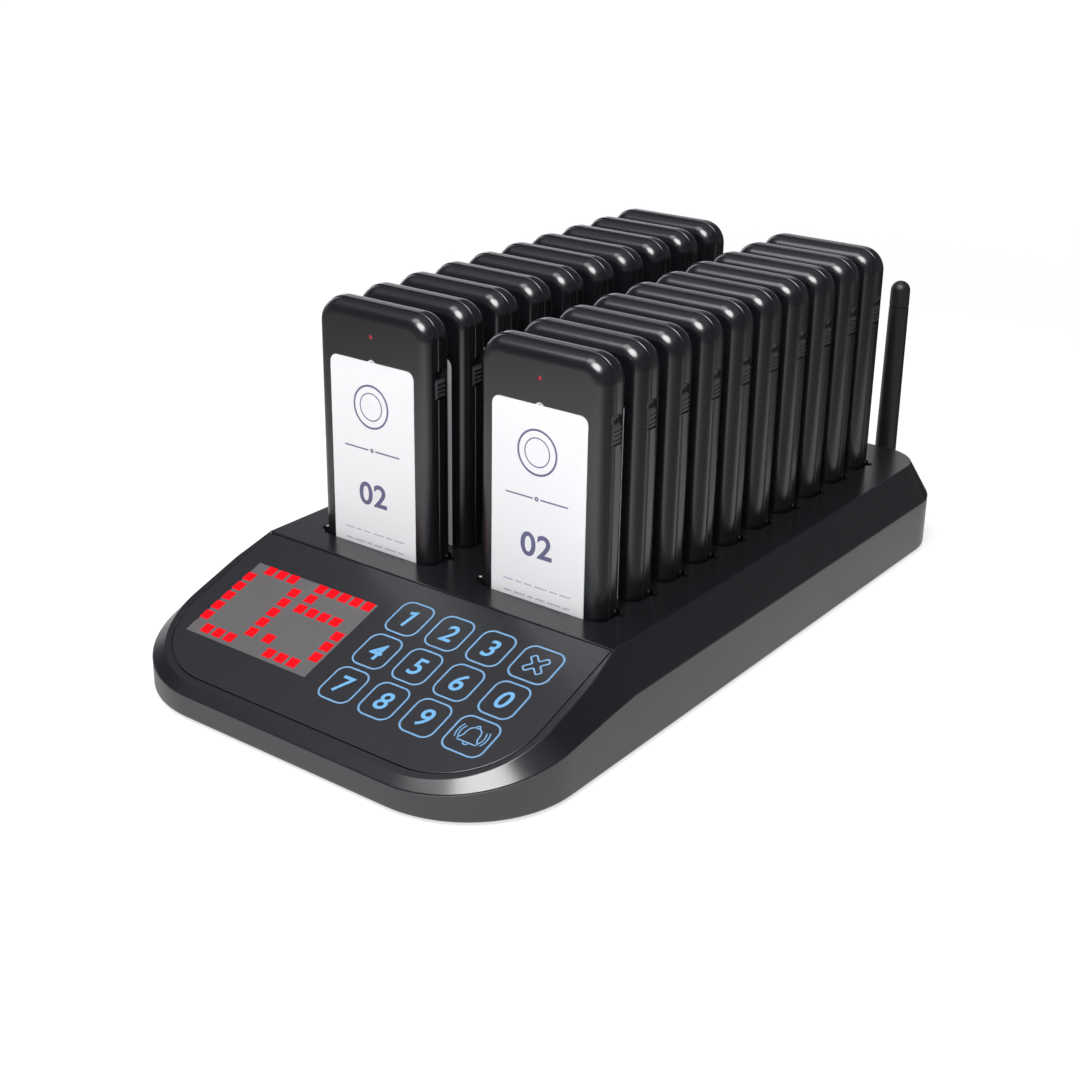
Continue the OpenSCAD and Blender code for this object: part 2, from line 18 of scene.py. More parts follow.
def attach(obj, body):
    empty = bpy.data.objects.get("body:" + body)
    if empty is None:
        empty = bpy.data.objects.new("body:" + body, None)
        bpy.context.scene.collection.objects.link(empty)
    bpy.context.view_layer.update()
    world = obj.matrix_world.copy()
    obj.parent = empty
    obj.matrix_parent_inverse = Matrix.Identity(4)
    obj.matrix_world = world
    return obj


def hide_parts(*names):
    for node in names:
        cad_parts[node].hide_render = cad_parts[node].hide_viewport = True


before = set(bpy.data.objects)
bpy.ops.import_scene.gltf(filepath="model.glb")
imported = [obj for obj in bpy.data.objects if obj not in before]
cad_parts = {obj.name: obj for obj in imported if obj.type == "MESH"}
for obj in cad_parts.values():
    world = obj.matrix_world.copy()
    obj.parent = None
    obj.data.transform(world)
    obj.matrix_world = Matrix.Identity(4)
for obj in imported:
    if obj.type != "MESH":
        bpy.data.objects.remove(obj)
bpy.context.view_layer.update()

# %% [markdown]
# ## Sizes
# The names and numbers are those of the solid model, so every piece made here
# falls on the part it dresses. X runs to the right, Y to the rear and Z up.

# %% Sizes of the base and of a pager
MM = 0.001
HALF_W = 83.3
FRONT_Y, RIDGE_Y, FIRST_Y, REAR_Y = -159.2, -86.4, -74.6, 141.9
TOP_Z, BAND_Z, NOSE_Z, SEAT_Z = 35.1, 21.7, 9.2, 12.8
SLOPE = radians(18.66)
SHOULDER, NOSE, WALL = 7.9, 5.6, 2.2
FRONT_R, REAR_R, CORNER_CUT = 39.8, 24.0, 8.0
STAND = 1.0
ROW_X, PITCH, PER_ROW = 35.5, 19.6, 10
PAGER_W, PAGER_H, PAGER_T, PAGER_R = 51.4, 110.0, 12.9, 9.0
FRONT_T, FRONT_ROUND, BACK_ROUND, STEP = 6.0, 5.2, 5.0, 0.35
KEY_PITCH = 17.0
CONSOLE_L = RIDGE_Y - FRONT_Y


def console_z(y):
    """Height of the top surface: flat, then falling from the ridge to the front."""
    return min(TOP_Z, TOP_Z - (RIDGE_Y - y) * tan(SLOPE))


def band_z(y):
    """Height of the line where the two halves of the casing meet."""
    t = max(0.0, RIDGE_Y - y) / CONSOLE_L
    return BAND_Z - (BAND_Z - NOSE_Z) * (0.67 * t + 0.33 * t * t)


def slot_place(i):
    """Corner of reference of slot i: the middle of the pager's foot, at its face."""
    side = -1 if i < PER_ROW else 1
    return Vector((side * ROW_X, FIRST_Y + (i % PER_ROW) * PITCH, SEAT_Z))


print("base", 2 * HALF_W, "x", REAR_Y - FRONT_Y, "mm, last slot at", slot_place(19))

# %% [markdown]
# ## The camera
# The camera stands where the photographer's did: its place, direction and focal
# length were worked out from the outlines of the pagers and of the base.

# %% Camera
CAM_PLACE = Vector((336.612, -480.589, 274.754))
CAM_RIGHT = Vector((0.78728229, 0.61656505, 0.00584224))
CAM_DOWN = Vector((0.23465684, -0.29084071, -0.92754938))
CAM_AHEAD = Vector((-0.57019537, 0.73161412, -0.37365495))
camera = bpy.data.objects.new("camera", bpy.data.cameras.new("camera"))
bpy.context.scene.collection.objects.link(camera)
camera.matrix_world = Matrix.Translation(CAM_PLACE * MM) @ Matrix(
    (CAM_RIGHT, -CAM_DOWN, -CAM_AHEAD)).transposed().to_4x4()
camera.data.sensor_width = 36.0
camera.data.lens = 56.603
camera.data.shift_x, camera.data.shift_y = 0.037, -0.037
camera.data.clip_start, camera.data.clip_end = 0.05, 60.0
bpy.context.scene.camera = camera
print("camera at", [round(v, 3) for v in camera.location], "lens", camera.data.lens)

# %% [markdown]
# ## Node trees as Python
# A material or a geometry tree is a graph of nodes. Drawn by hand it is a web of
# boxes; here one small class wraps an output socket, so that `1 - mask * 0.5`
# writes the Math nodes by itself. `Tree.node` adds any other node.

# %% Wire and Tree
class Wire:
    """An output socket. Maths on it adds Math nodes."""

    def __init__(self, tree, socket):
        self.tree, self.socket = tree, socket

    def out(self, name):
        """Another output of the same node."""
        return Wire(self.tree, self.socket.node.outputs[name])


def overload(method, operation):
    """Gives Wire an operator and its reflected form."""
    setattr(Wire, f"__{method}__", lambda a, b: a.tree.maths(operation, a, b))
    setattr(Wire, f"__r{method}__", lambda a, b: a.tree.maths(operation, b, a))


for pair in (("add", "ADD"), ("sub", "SUBTRACT"), ("mul", "MULTIPLY"), ("truediv", "DIVIDE"),
             ("pow", "POWER")):
    overload(*pair)


class Tree:
    """A node tree under construction."""

    def __init__(self, tree):
        self.tree = tree

    def put(self, socket, value):
        if isinstance(value, Wire):
            self.tree.links.new(value.socket, socket)
        elif value is not None:
            socket.default_value = value

    def node(self, kind, inputs=None, settings=None, out=0):
        """Any node, with "ShaderNode" put before a short kind: settings come first, then
        its sockets get values or links."""
        made = self.tree.nodes.new(kind if "Node" in kind else "ShaderNode" + kind)
        for name, value in (settings or {}).items():
            if name == "stops":
                ramp = made.color_ramp.elements
                while len(ramp) < len(value):
                    ramp.new(0.5)
                for stop, (place, colour) in zip(ramp, value):
                    stop.position, stop.color = place, colour
            else:
                setattr(made, name, value)
        for name, value in (inputs or {}).items():
            self.put(made.inputs[name], value)
        return Wire(self, made.outputs[out])

    def maths(self, operation, *values):
        return self.node("Math", dict(enumerate(values)), {"operation": operation})

    def vectors(self, operation, *values, out=0):
        return self.node("VectorMath", dict(enumerate(values)),
                         {"operation": operation}, out)

    def mix(self, factor, a, b):
        """A blend of two colours."""
        return self.node("Mix", {0: factor, 6: a, 7: b}, {"data_type": "RGBA"}, 2)

    def noise(self, where, scale, detail=2.0):
        return self.node("TexNoise",
                         {"Vector": where, "Scale": scale, "Detail": detail})

    def ramp(self, factor, stops):
        return self.node("ValToRGB", {"Fac": factor}, {"stops": stops})

    def between(self, value, start, end, low, high):
        return self.node("MapRange", {
            "Value": value, "From Min": start, "From Max": end, "To Min": low, "To Max": high})

    def turn(self, x, y):
        """The direction of x, y as a place on a ramp: 0.5 is in front, 1 is behind."""
        return self.maths("ARCTAN2", x, y * -1.0) / (2 * pi) + 0.5


def grey(value, blue=1.0):
    """A neutral colour, a little cooler where blue is over 1."""
    return (value, value, value * blue, 1.0)


def scaled(colour, factor):
    return tuple(min(1.0, c * factor) for c in colour[:3]) + (1.0,)


def finish_of(name, constants, build):
    """A material: constants go on the shader's own sockets, build adds what varies."""
    material = bpy.data.materials.new(name)
    material.use_nodes = True
    tree = Tree(material.node_tree)
    shader = next(n for n in material.node_tree.nodes if n.type == "BSDF_PRINCIPLED")
    where = tree.node("TexCoord", out="Object")
    for socket, value in (constants | build(tree, where)).items():
        tree.put(shader.inputs[socket], value)
    return material


# %% [markdown]
# ## Moulded plastic
# Nearly everything here is moulded ABS, with a very fine grain and faint changes of
# gloss. So every plastic gets a fine noise as a bump, and a coarse one that moves
# the roughness and the colour a little. The patterns read Object coordinates, in
# metres: a scale of 2500 is a 0.4 mm grain.

# %% Plastic finishes
def plastic(name, colour, rough, grain=2500.0, depth=0.15, drift=0.06, shine=0.5):
    def build(tree, where):
        slow = tree.noise(where, 28.0, 3.0)
        return {
            "Base Color": tree.mix(slow, colour, scaled(colour, 1.22)),
            "Roughness": slow * (2 * drift) + (rough - drift),
            "Normal": tree.node("Bump", {
                "Strength": depth, "Distance": 0.00005, "Height": tree.noise(where, grain)}),
        }
    return finish_of(name, {"Specular IOR Level": shine}, build)


CASING = plastic("satin black casing", (0.007, 0.007, 0.0085, 1), 0.24, depth=0.12, drift=0.04,
                 shine=0.9)
LOWER = plastic("satin black lower casing", (0.026, 0.026, 0.030, 1), 0.38, depth=0.2, shine=0.9)
POCKET = plastic("black slot pocket", (0.006, 0.006, 0.007, 1), 0.5)
PAGER, PAGER_BACK = (
    plastic(name, (0.006, 0.006, 0.0078, 1), 0.23, depth=0.08, shine=1.0)
    for name in ("satin black pager", "satin black pager back"))
SWITCH = plastic("matt black switch", (0.030, 0.030, 0.033, 1), 0.32, shine=1.0)
ANTENNA = plastic("black antenna", (0.010, 0.010, 0.012, 1), 0.40, grain=3500.0)
INLET = plastic("black inlet", (0.012, 0.012, 0.013, 1), 0.4)
RUBBER = plastic("soft black rubber", (0.018, 0.018, 0.018, 1), 0.75, grain=1400.0, depth=0.5)
BOARD = plastic("green solder mask", (0.012, 0.10, 0.04, 1), 0.35, grain=900.0, depth=0.3)
print("plastics made")

# %% [markdown]
# The overlay is a printed film, smoother than the casing. The display behind its
# smoked window shows a grey face with square red dots.

# %% Console finishes
OVERLAY = plastic("printed overlay film", (0.010, 0.010, 0.0125, 1), 0.27, grain=4000.0,
                  depth=0.10, drift=0.03, shine=0.8)
FACE = plastic("grey display face", (0.098, 0.094, 0.095, 1), 0.50, grain=3000.0, depth=0.05,
               shine=0.3)


def glowing(name, colour, strength):
    """A lit plastic: the body colour and its own light, brighter in places."""
    def build(tree, where):
        slow = tree.noise(where, 420.0)
        return {"Emission Color": tree.mix(slow, colour, scaled(colour, 1.25)),
                "Roughness": slow * 0.1 + 0.5}
    return finish_of(name, {"Base Color": colour, "Emission Strength": strength,
                            "Specular IOR Level": 0.06}, build)


def printed(name, colour):
    """Screen-printed ink, a little uneven in cover."""
    def build(tree, where):
        cover = tree.noise(where, 1800.0)
        return {"Base Color": tree.mix(cover, scaled(colour, 0.86), colour),
                "Roughness": cover * 0.1 + 0.45}
    return finish_of(name, {}, build)


LIT = glowing("lit red dot", (0.50, 0.002, 0.006, 1), 0.70)
UNLIT = plastic("unlit dot", (0.095, 0.091, 0.092, 1), 0.50, shine=0.3)
LAMP = glowing("lit red lamp", (0.26, 0.03, 0.045, 1), 0.6)
KEY_BLUE = printed("light blue figure print", (0.14, 0.39, 0.67, 1))
FRAME_BLUE = printed("pale blue frame print", (0.17, 0.36, 0.60, 1))
CARD_INK = printed("grey violet card print", (0.15, 0.145, 0.27, 1))
CARD_PALE = printed("pale violet card print", (0.58, 0.57, 0.68, 1))
print("console finishes made")

# %% [markdown]
# Gold pins, zinc-plated screws and inlet pin, and a brass antenna socket. Fine
# scratches come from a noise stretched along one axis by a Mapping node.

# %% Card and metal finishes
def metal(name, colour, rough):
    def build(tree, where):
        along = tree.node("Mapping", {"Vector": where, "Scale": (1, 1, 0.1)})
        scratch = tree.noise(along, 3000.0, 3.0)
        return {"Roughness": scratch * 0.2 + (rough - 0.1),
                "Base Color": tree.mix(scratch, colour, scaled(colour, 0.8))}
    return finish_of(name, {"Metallic": 1.0}, build)


def paper(tree, where):
    fibre = tree.noise(where, 1500.0)
    return {"Base Color": tree.mix(fibre, grey(0.88, 1.01), grey(0.92, 1.01)),
            "Roughness": fibre * 0.1 + 0.42}


GOLD = metal("gold plated pin", (0.83, 0.60, 0.25, 1), 0.25)
BRASS = metal("brass socket", (0.72, 0.53, 0.24, 1), 0.3)
STEEL = metal("zinc plated screw", (0.55, 0.56, 0.58, 1), 0.35)
CARD = finish_of("white laminated card", {"Coat Weight": 0.3}, paper)
print("card and metals made")

# %% [markdown]
# ## Meshes from rings
# Most of these parts are skins drawn through a stack of closed outlines, called
# rings, with four-sided faces between neighbours. Rounded edges are real geometry:
# they are what catches the light.

# %% Rings and skins
def arc(cx, cy, r, a0, a1, n):
    return [(cx + r * cos(radians(a0 + (a1 - a0) * i / n)),
             cy + r * sin(radians(a0 + (a1 - a0) * i / n))) for i in range(n + 1)]


def circle(r, n):
    return [(r * cos(2 * pi * k / n), r * sin(2 * pi * k / n))
            for k in range(n)]


def outline(hw, y0, y1, r0, r1, n, sides=()):
    """A rounded rectangle, with extra points along both sides at the given heights."""
    return (arc(-hw + r0, y0 + r0, r0, 180, 270, n) + arc(hw - r0, y0 + r0, r0, 270, 360, n)
            + [(hw, y) for y in sides] + arc(hw - r1, y1 - r1, r1, 0, 90, n)
            + arc(-hw + r1, y1 - r1, r1, 90, 180, n) + [(-hw, y) for y in reversed(sides)])


def at(p, z):
    """A point of an outline, at height z."""
    return Vector((p[0], p[1], z))


class Skin:
    """Points and faces. Rings of points are joined into a skin."""

    def __init__(self, points=(), faces=()):
        self.points, self.faces = list(points), list(faces)

    def join(self, low, high):
        """Four-sided faces between two rings of as many points."""
        n = len(low)
        for i in range(n):
            j = (i + 1) % n
            self.faces.append((low[i], low[j], high[j], high[i]))

    def stack(self, rings):
        made = []
        for ring in rings:
            start = len(self.points)
            self.points += ring
            made.append(list(range(start, start + len(ring))))
        for low, high in zip(made, made[1:]):
            self.join(low, high)
        return made

    def cap(self, ring, up=True):
        self.faces.append(tuple(ring if up else reversed(ring)))

    def placed(self, place):
        """The same faces, with every point moved by place."""
        return Skin([place(p) for p in self.points], self.faces)


def closed(rings):
    """A skin through rings, with both ends capped."""
    skin = Skin()
    made = skin.stack(rings)
    skin.cap(made[0], False)
    skin.cap(made[-1], True)
    return skin


def prism(layers, make_points):
    """A closed skin through the same outline at several heights."""
    return closed([make_points(*layer) for layer in layers])


def make_object(name, mesh, material):
    thing = bpy.data.objects.new(name, mesh)
    bpy.context.scene.collection.objects.link(thing)
    mesh.materials.clear()
    mesh.materials.append(material)
    return thing


def merged(name, skins, material=None):
    """One object of several skins, in millimetres, with all faces turned outwards."""
    points, faces = [], []
    for skin in skins:
        start = len(points)
        points += skin.points
        faces += [tuple(start + i for i in f) for f in skin.faces]
    mesh = bpy.data.meshes.new(name)
    mesh.from_pydata([Vector(p) * MM for p in points], [], faces)
    work = bmesh.new()
    work.from_mesh(mesh)
    bmesh.ops.recalc_face_normals(work, faces=work.faces)
    work.to_mesh(mesh)
    work.free()
    return make_object(name, mesh, material or CASING)


def evaluated(thing):
    """The object's mesh with its modifiers applied, as a plain mesh."""
    ready = thing.evaluated_get(bpy.context.evaluated_depsgraph_get())
    mesh = bpy.data.meshes.new_from_object(ready)
    thing.modifiers.clear()
    old, thing.data = thing.data, mesh
    bpy.data.meshes.remove(old)
    return thing


def cut(thing, *cutters):
    """Cuts the cutters' shapes out of thing, exactly, and removes them."""
    for cutter in cutters:
        step = thing.modifiers.new("cut", "BOOLEAN")
        step.operation, step.solver, step.object = "DIFFERENCE", "EXACT", cutter
    evaluated(thing)
    for cutter in cutters:
        bpy.data.objects.remove(cutter)
    return thing


def soften(thing, sharp=22.0):
    """Smooth shading, with edges over the angle kept sharp and flat faces flat."""
    thing.data.shade_smooth()
    thing.data.set_sharp_from_angle(angle=radians(sharp))
    step = thing.modifiers.new("normals", "WEIGHTED_NORMAL")
    step.keep_sharp = True
    return evaluated(thing)


def dress(thing, body, slot, *nodes):
    """Hangs the piece on its body and hides the nodes it stands for. The slot argument is not used.
    """
    if nodes:
        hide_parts(*nodes)
    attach(thing, body)


def report(*things):
    for thing in things:
        size = [round(v * 1000, 1) for v in thing.dimensions]
        print(thing.name, size, "mm,", len(thing.data.polygons), "faces")


def finish(thing, body, slot, *nodes, sharp=22.0):
    dress(soften(thing, sharp), body, slot, *nodes)
    report(thing)


print("mesh helpers ready")

# %% [markdown]
# ## The upper casing
# A flat top, shoulders that slant down to the parting line, and a console that
# falls to a low rounded nose. The outlines at the foot and the top of the shoulder
# are joined, and `fillet` rounds the corners of that profile. Round the console the
# top edge stands out by LIP, so a flat rim shows there.

# %% Profile of the casing
CORNER_STEPS = 22
SIDE_YS = [-110, -102, -94, RIDGE_Y, -60, -20, 20, 60, 100]
RIDGE_R = 2 * (CORNER_STEPS + 1) + SIDE_YS.index(RIDGE_Y)
RIDGE_L = 4 * (CORNER_STEPS + 1) + 2 * len(SIDE_YS) - 1 - SIDE_YS.index(RIDGE_Y)


WIDE = (HALF_W, FRONT_Y, REAR_Y, FRONT_R, REAR_R)
TOP = (HALF_W - SHOULDER, FRONT_Y + NOSE, REAR_Y - SHOULDER, FRONT_R - CORNER_CUT,
       REAR_R - CORNER_CUT)


def shrunk(shape, d):
    """The casing's outline at the parting line (WIDE) or at the top, d further in."""
    hw, front, rear, front_r, rear_r = shape
    return outline(hw - d, front + d, rear - d, front_r - d, rear_r - d, CORNER_STEPS, SIDE_YS)


def fillet(before, corner, after, radius, steps):
    """Points of an arc that rounds a corner between two neighbours."""
    a, b = (before - corner).normalized(), (after - corner).normalized()
    half = a.angle(b) / 2
    reach = min(radius / tan(half), 0.95 * (before - corner).length,
                0.95 * (after - corner).length)
    r = reach * tan(half)
    middle = corner + (a + b).normalized() * (r / sin(half))
    start, end = corner + a * reach - middle, corner + b * reach - middle
    turn = start.angle(end)
    return [middle + (start * sin(turn * (1 - k / steps)) + end * sin(turn * k / steps))
            / sin(turn) for k in range(steps + 1)]


TOP_RADIUS, PARTING_RADIUS, LAND = 0.7, 0.2, 6
LIP, LIP_RISE = 1.7, 16.0


def lip_share(y):
    """How much of the lip there is: none at the ridge, all of it from LIP_RISE on."""
    x = min(max((RIDGE_Y - y) / LIP_RISE, 0), 1)
    return x * x * (3 - 2 * x)


def casing_profiles():
    """For each point of the outline, the profile from the parting line to the top."""
    profiles = []
    for w, wi, t, to, ti in zip(shrunk(WIDE, 0), shrunk(WIDE, 1.2), shrunk(TOP, 0),
                                shrunk(TOP, -LIP), shrunk(TOP, LAND)):
        foot, inner = at(w, band_z(w[1])), at(wi, band_z(w[1]))
        rim = Vector(t).lerp(Vector(to), lip_share(t[1]))
        edge, land = at(rim, console_z(rim.y)), at(ti, console_z(ti[1]))
        profiles.append([inner] + fillet(inner, foot, edge, PARTING_RADIUS, 4)
                        + fillet(foot, edge, land, TOP_RADIUS, 8) + [land])
    return profiles


def inner_profiles():
    return [[at(w, band_z(v[1])), at(t, console_z(t[1]) - WALL)]
            for v, w, t in zip(shrunk(WIDE, 0), shrunk(WIDE, WALL), shrunk(TOP, WALL))]


def rings_of(profiles):
    """Turns a list of profiles into a list of rings."""
    return [list(ring) for ring in zip(*profiles)]


def split_cap(skin, ring, up):
    """Closes a ring with two faces that meet in a line at the ridge."""
    skin.cap(ring[:RIDGE_R + 1] + ring[RIDGE_L:], up)
    skin.cap(ring[RIDGE_R:RIDGE_L + 1], up)


skin = Skin()
rings = skin.stack(rings_of(inner_profiles())[::-1] + rings_of(casing_profiles()))
split_cap(skin, rings[0], False)
split_cap(skin, rings[-1], True)
casing = merged("casing_top", [skin], CASING)
report(casing)

# %% [markdown]
# Cut out of it: twenty slots with a small chamfer, two half-round notches for each,
# the recess of the overlay and the display opening.

# %% Cutting the slots and the recess
SLOT_HW, SLOT_GAP, SLOT_R, NOTCH_R, NOTCH_IN = 26.2, 0.5, 4.0, 1.6, 3.2
RIM, GROOVE, FILM_T = 0.8, 0.3, 0.8
WINDOW_X, WINDOW_S, WINDOW_W, WINDOW_L = -38.2, 15.5, 55.8, 38.0
SLOTS = [slot_place(i) for i in range(2 * PER_ROW)]


def slot_layer(place, grow, z):
    return [(place.x + x, place.y + y, z) for x, y in outline(
        SLOT_HW + grow, -SLOT_GAP - grow, PAGER_T + SLOT_GAP + grow,
        SLOT_R + grow, SLOT_R + grow, 6)]


def disc(x, y, z, r, n=20):
    return [(x + a, y + b, z) for a, b in circle(r, n)]


CHAMFER = 0.35
SLOT_LAYERS = [(0, TOP_Z - 4), (0, TOP_Z - CHAMFER), (CHAMFER, TOP_Z),
               (2 * CHAMFER, TOP_Z + CHAMFER)]
slots = merged("slots", [prism([(p, g, z) for g, z in SLOT_LAYERS], slot_layer) for p in SLOTS])
notches = merged("notches", [
    prism([(x, y, z, NOTCH_R + g) for g, z in SLOT_LAYERS], disc)
    for p in SLOTS for x, y in ((p.x - SLOT_HW, p.y + NOTCH_IN),
                                (p.x + SLOT_HW, p.y + PAGER_T - NOTCH_IN))])


def on_console(x, s, h):
    """A point of the console's plane: x, s along the slope (down is negative), h above it."""
    return Vector((x, RIDGE_Y + s * cos(SLOPE) - h * sin(SLOPE),
                   TOP_Z + s * sin(SLOPE) + h * cos(SLOPE)))


def film_layer(inset, h, corner=0.6):
    low = -(CONSOLE_L - NOSE) / cos(SLOPE)
    return [on_console(x, s, h) for x, s in outline(
        HALF_W - SHOULDER - inset, low + inset, -inset, FRONT_R - CORNER_CUT - inset, corner, 24)]


def box_layer(x0, x1, s0, s1, h):
    return [on_console(x, s, h) for x, s in ((x0, s0), (x1, s0), (x1, s1), (x0, s1))]


recess = merged("recess", [prism([(RIM, -FILM_T), (RIM, -0.12), (RIM - 0.24, 0.12)], film_layer)])
OPEN_HW, OPEN_HL, MID_S = 29.8, 19.36, -(WINDOW_S + WINDOW_L / 2)
opening = merged("opening", [prism(
    [(WINDOW_X - OPEN_HW, WINDOW_X + OPEN_HW, MID_S - OPEN_HL, MID_S + OPEN_HL, h)
     for h in (-8, -0.4)], box_layer)])
finish(cut(casing, slots, notches, recess, opening), "base", "casing_black", "upper_casing")

# %% [markdown]
# ## The lower casing
# A tray with an upright wall, the band seen all round. Small rounded edges at the
# parting line leave the fine dark line between the halves. Foot recesses and screw
# holes are cut from below.

# %% Lower casing
PARTING = 0.06
FLOOR_RADIUS, FLOOR_INSET = 1.4, 3.0
profiles = []
for w, wi in zip(shrunk(WIDE, 0), shrunk(WIDE, FLOOR_INSET)):
    top = band_z(w[1]) - PARTING
    foot, edge = at(w, STAND), at(w, top)
    profiles.append(fillet(at(wi, STAND), foot, edge, FLOOR_RADIUS, 6)
                    + fillet(foot, edge, at(wi, top), PARTING_RADIUS, 4))
walls = [[at(w, band_z(v[1]) - PARTING), at(w, STAND + WALL)]
         for v, w in zip(shrunk(WIDE, 0), shrunk(WIDE, WALL))]
tray = merged("casing_base", [closed(rings_of(profiles) + rings_of(walls))], LOWER)

FOOT_SEAT, SCREW_BORE = 7.05, 3.4
FEET = [(s * (HALF_W - 23), y) for y in (FRONT_Y + 34, REAR_Y - 27) for s in (-1, 1)]
SCREWS = ([(s * (HALF_W - 11.6), RIDGE_Y - 8) for s in (-1, 1)]
          + [(s * (HALF_W - 14), FIRST_Y + d) for d in (45, 150) for s in (-1, 1)]
          + [(-22, REAR_Y - 15.6), (22, REAR_Y - 15.6)])
holes = [prism([(x, y, STAND + z, r, n) for z in (-1, depth)], disc)
         for places, depth, r, n in ((FEET, 1.2, FOOT_SEAT, 48), (SCREWS, WALL + 2, SCREW_BORE, 32))
         for x, y in places]


def rear_disc(x, z, y, r, n=40):
    return [(x + a, y, z + b) for a, b in circle(r, n)]


ANTENNA_X, SOCKET_Z, INLET_X = 49.0, 12.0, -36.0
holes += [prism([(x, SOCKET_Z, y, r) for y in (REAR_Y + 1, REAR_Y - 4)], rear_disc)
          for x, r in ((ANTENNA_X, 3.2), (INLET_X, 4.2))]
finish(cut(tray, merged("holes", holes)), "base", "casing_black", "lower_casing")

# %% [markdown]
# ## The keypad overlay and the display window
# The overlay is a film of 0.8 mm let into the console. The groove of 0.3 mm round
# it shows as a dark line. The display sits in a hole of the film.

# %% Overlay film and window
FILM = RIM + GROOVE
film = merged("overlay_film", [prism(
    [(FILM, -FILM_T), (FILM, -0.15), (FILM + 0.05, -0.05), (FILM + 0.15, 0.0)], film_layer)],
    OVERLAY)
X0, X1 = WINDOW_X - WINDOW_W / 2, WINDOW_X + WINDOW_W / 2
S0, S1 = -WINDOW_S - WINDOW_L, -WINDOW_S
hole = merged("hole", [prism([(X0, X1, S0, S1, h) for h in (-2, 1)], box_layer)])
finish(cut(film, hole), "base", "overlay_black", "keypad_overlay")
pane = merged("display_pane", [prism(
    [(X0 + g, X1 - g, S0 + g, S1 - g, h) for g, h in ((0.05, -0.75), (0.05, -0.1), (0.12, -0.05))],
    box_layer)], FACE)
finish(pane, "base", "window_smoke", "display_window")

# %% [markdown]
# ## Lit dots
# Each digit is five by seven square dots. A Geometry Nodes tree sets a small plate
# on a point for each. `Growth` makes such trees: their sizes are inputs, and they
# end in Realize Instances and Set Material.

# %% A geometry tree for plates on points
class Growth(Tree):
    """A geometry tree with a mesh input, named number inputs and a mesh output."""

    def __init__(self, name, sizes, material):
        super().__init__(bpy.data.node_groups.new(name, "GeometryNodeTree"))
        self.material, self.keys = material, {}
        face = self.tree.interface
        face.new_socket("Geometry", in_out="INPUT", socket_type="NodeSocketGeometry")
        for label, value in sizes.items():
            kind = "NodeSocketInt" if isinstance(value, int) else "NodeSocketFloat"
            made = face.new_socket(label, in_out="INPUT", socket_type=kind)
            made.default_value = value
            self.keys[label] = made.identifier
        face.new_socket("Geometry", in_out="OUTPUT", socket_type="NodeSocketGeometry")
        start = self.node("NodeGroupInput")
        self.wire = {label: start.out(label) for label in ["Geometry", *sizes]}

    def xyz(self, **axes):
        return self.node("CombineXYZ", axes)

    def cylinder(self, sides, radius, depth):
        return self.node("GeometryNodeMeshCylinder", {
            "Vertices": sides, "Radius": radius, "Depth": depth})

    def cone(self, sides, top, bottom, depth):
        return self.node("GeometryNodeMeshCone", {
            "Vertices": sides, "Radius Top": top, "Radius Bottom": bottom, "Depth": depth})

    def box(self, x, y, z):
        return self.node("GeometryNodeMeshCube", {"Size": self.xyz(X=x, Y=y, Z=z)})

    def lifted(self, geometry, height):
        return self.node("GeometryNodeTransform", {
            "Geometry": geometry, "Translation": self.xyz(Z=height)})

    def joined(self, *parts):
        both = self.node("GeometryNodeJoinGeometry")
        for part in parts:
            self.put(both.socket.node.inputs[0], part)
        return both

    def spread(self, part, points=None, rotation=None):
        """The part on every point, as instances."""
        return self.node("GeometryNodeInstanceOnPoints", {
            "Points": points or self.wire["Geometry"], "Instance": part, "Rotation": rotation})

    def close(self, geometry):
        """Realize Instances, Set Material and the output."""
        real = self.node("GeometryNodeRealizeInstances", {0: geometry})
        painted = self.node("GeometryNodeSetMaterial", {
            "Geometry": real, "Material": self.material})
        end = self.tree.nodes.new("NodeGroupOutput")
        self.put(end.inputs[0], painted)
        return self

    def run(self, thing, **values):
        """Runs the tree on an object, which becomes a plain mesh."""
        step = thing.modifiers.new("grow", "NODES")
        step.node_group = self.tree
        for label, value in values.items():
            step[self.keys[label.replace("_", " ")]] = value
        return evaluated(thing)

    def grow(self, name, points, **values):
        """Runs the tree on points, in millimetres."""
        return self.run(merged(name, [Skin(points)], self.material), **values)


def plates(material):
    tree = Growth("plates on points", {"Side": 0.0042, "Height": 0.0003, "Slope": SLOPE},
                  material)
    wire = tree.wire
    plate = tree.box(wire["Side"], wire["Side"], wire["Height"])
    return tree.close(tree.spread(plate, rotation=tree.xyz(X=wire["Slope"])))


DOT, DOT_SIDE, LIT_T, UNLIT_T = 5.39, 0.0040, 0.00014, 0.00004
DIGITS, DOT_S, DOT_H = {"0": -64.29, "5": -34.8}, -17.6, -0.04
FONT_5X7 = {"0": [".###.", "#...#", "#...#", "#...#", "#...#", "#...#", ".###."],
            "5": ["#####", "#....", "####.", "....#", "....#", "#...#", ".###."]}
dots = {"#": [], ".": []}
for digit, x0 in DIGITS.items():
    for row, line in enumerate(FONT_5X7[digit]):
        for column, mark in enumerate(line):
            dots[mark].append(on_console(x0 + column * DOT, DOT_S - row * DOT, DOT_H))
for name, mark, material, height in (("lit_dots", "#", LIT, LIT_T),
                                     ("unlit_dots", ".", UNLIT, UNLIT_T)):
    thing = plates(material).grow(name, dots[mark], Side=DOT_SIDE, Height=height)
    dress(thing, "base", "matrix_grey", "led_matrix")
    report(thing)

# %% [markdown]
# ## Printed keys
# The keys are print on the film: a light-blue frame with a figure in it. A frame is
# a quadrilateral with filleted corners, swept with a flat section and set on twelve
# points. Two keys of the right column are wider.

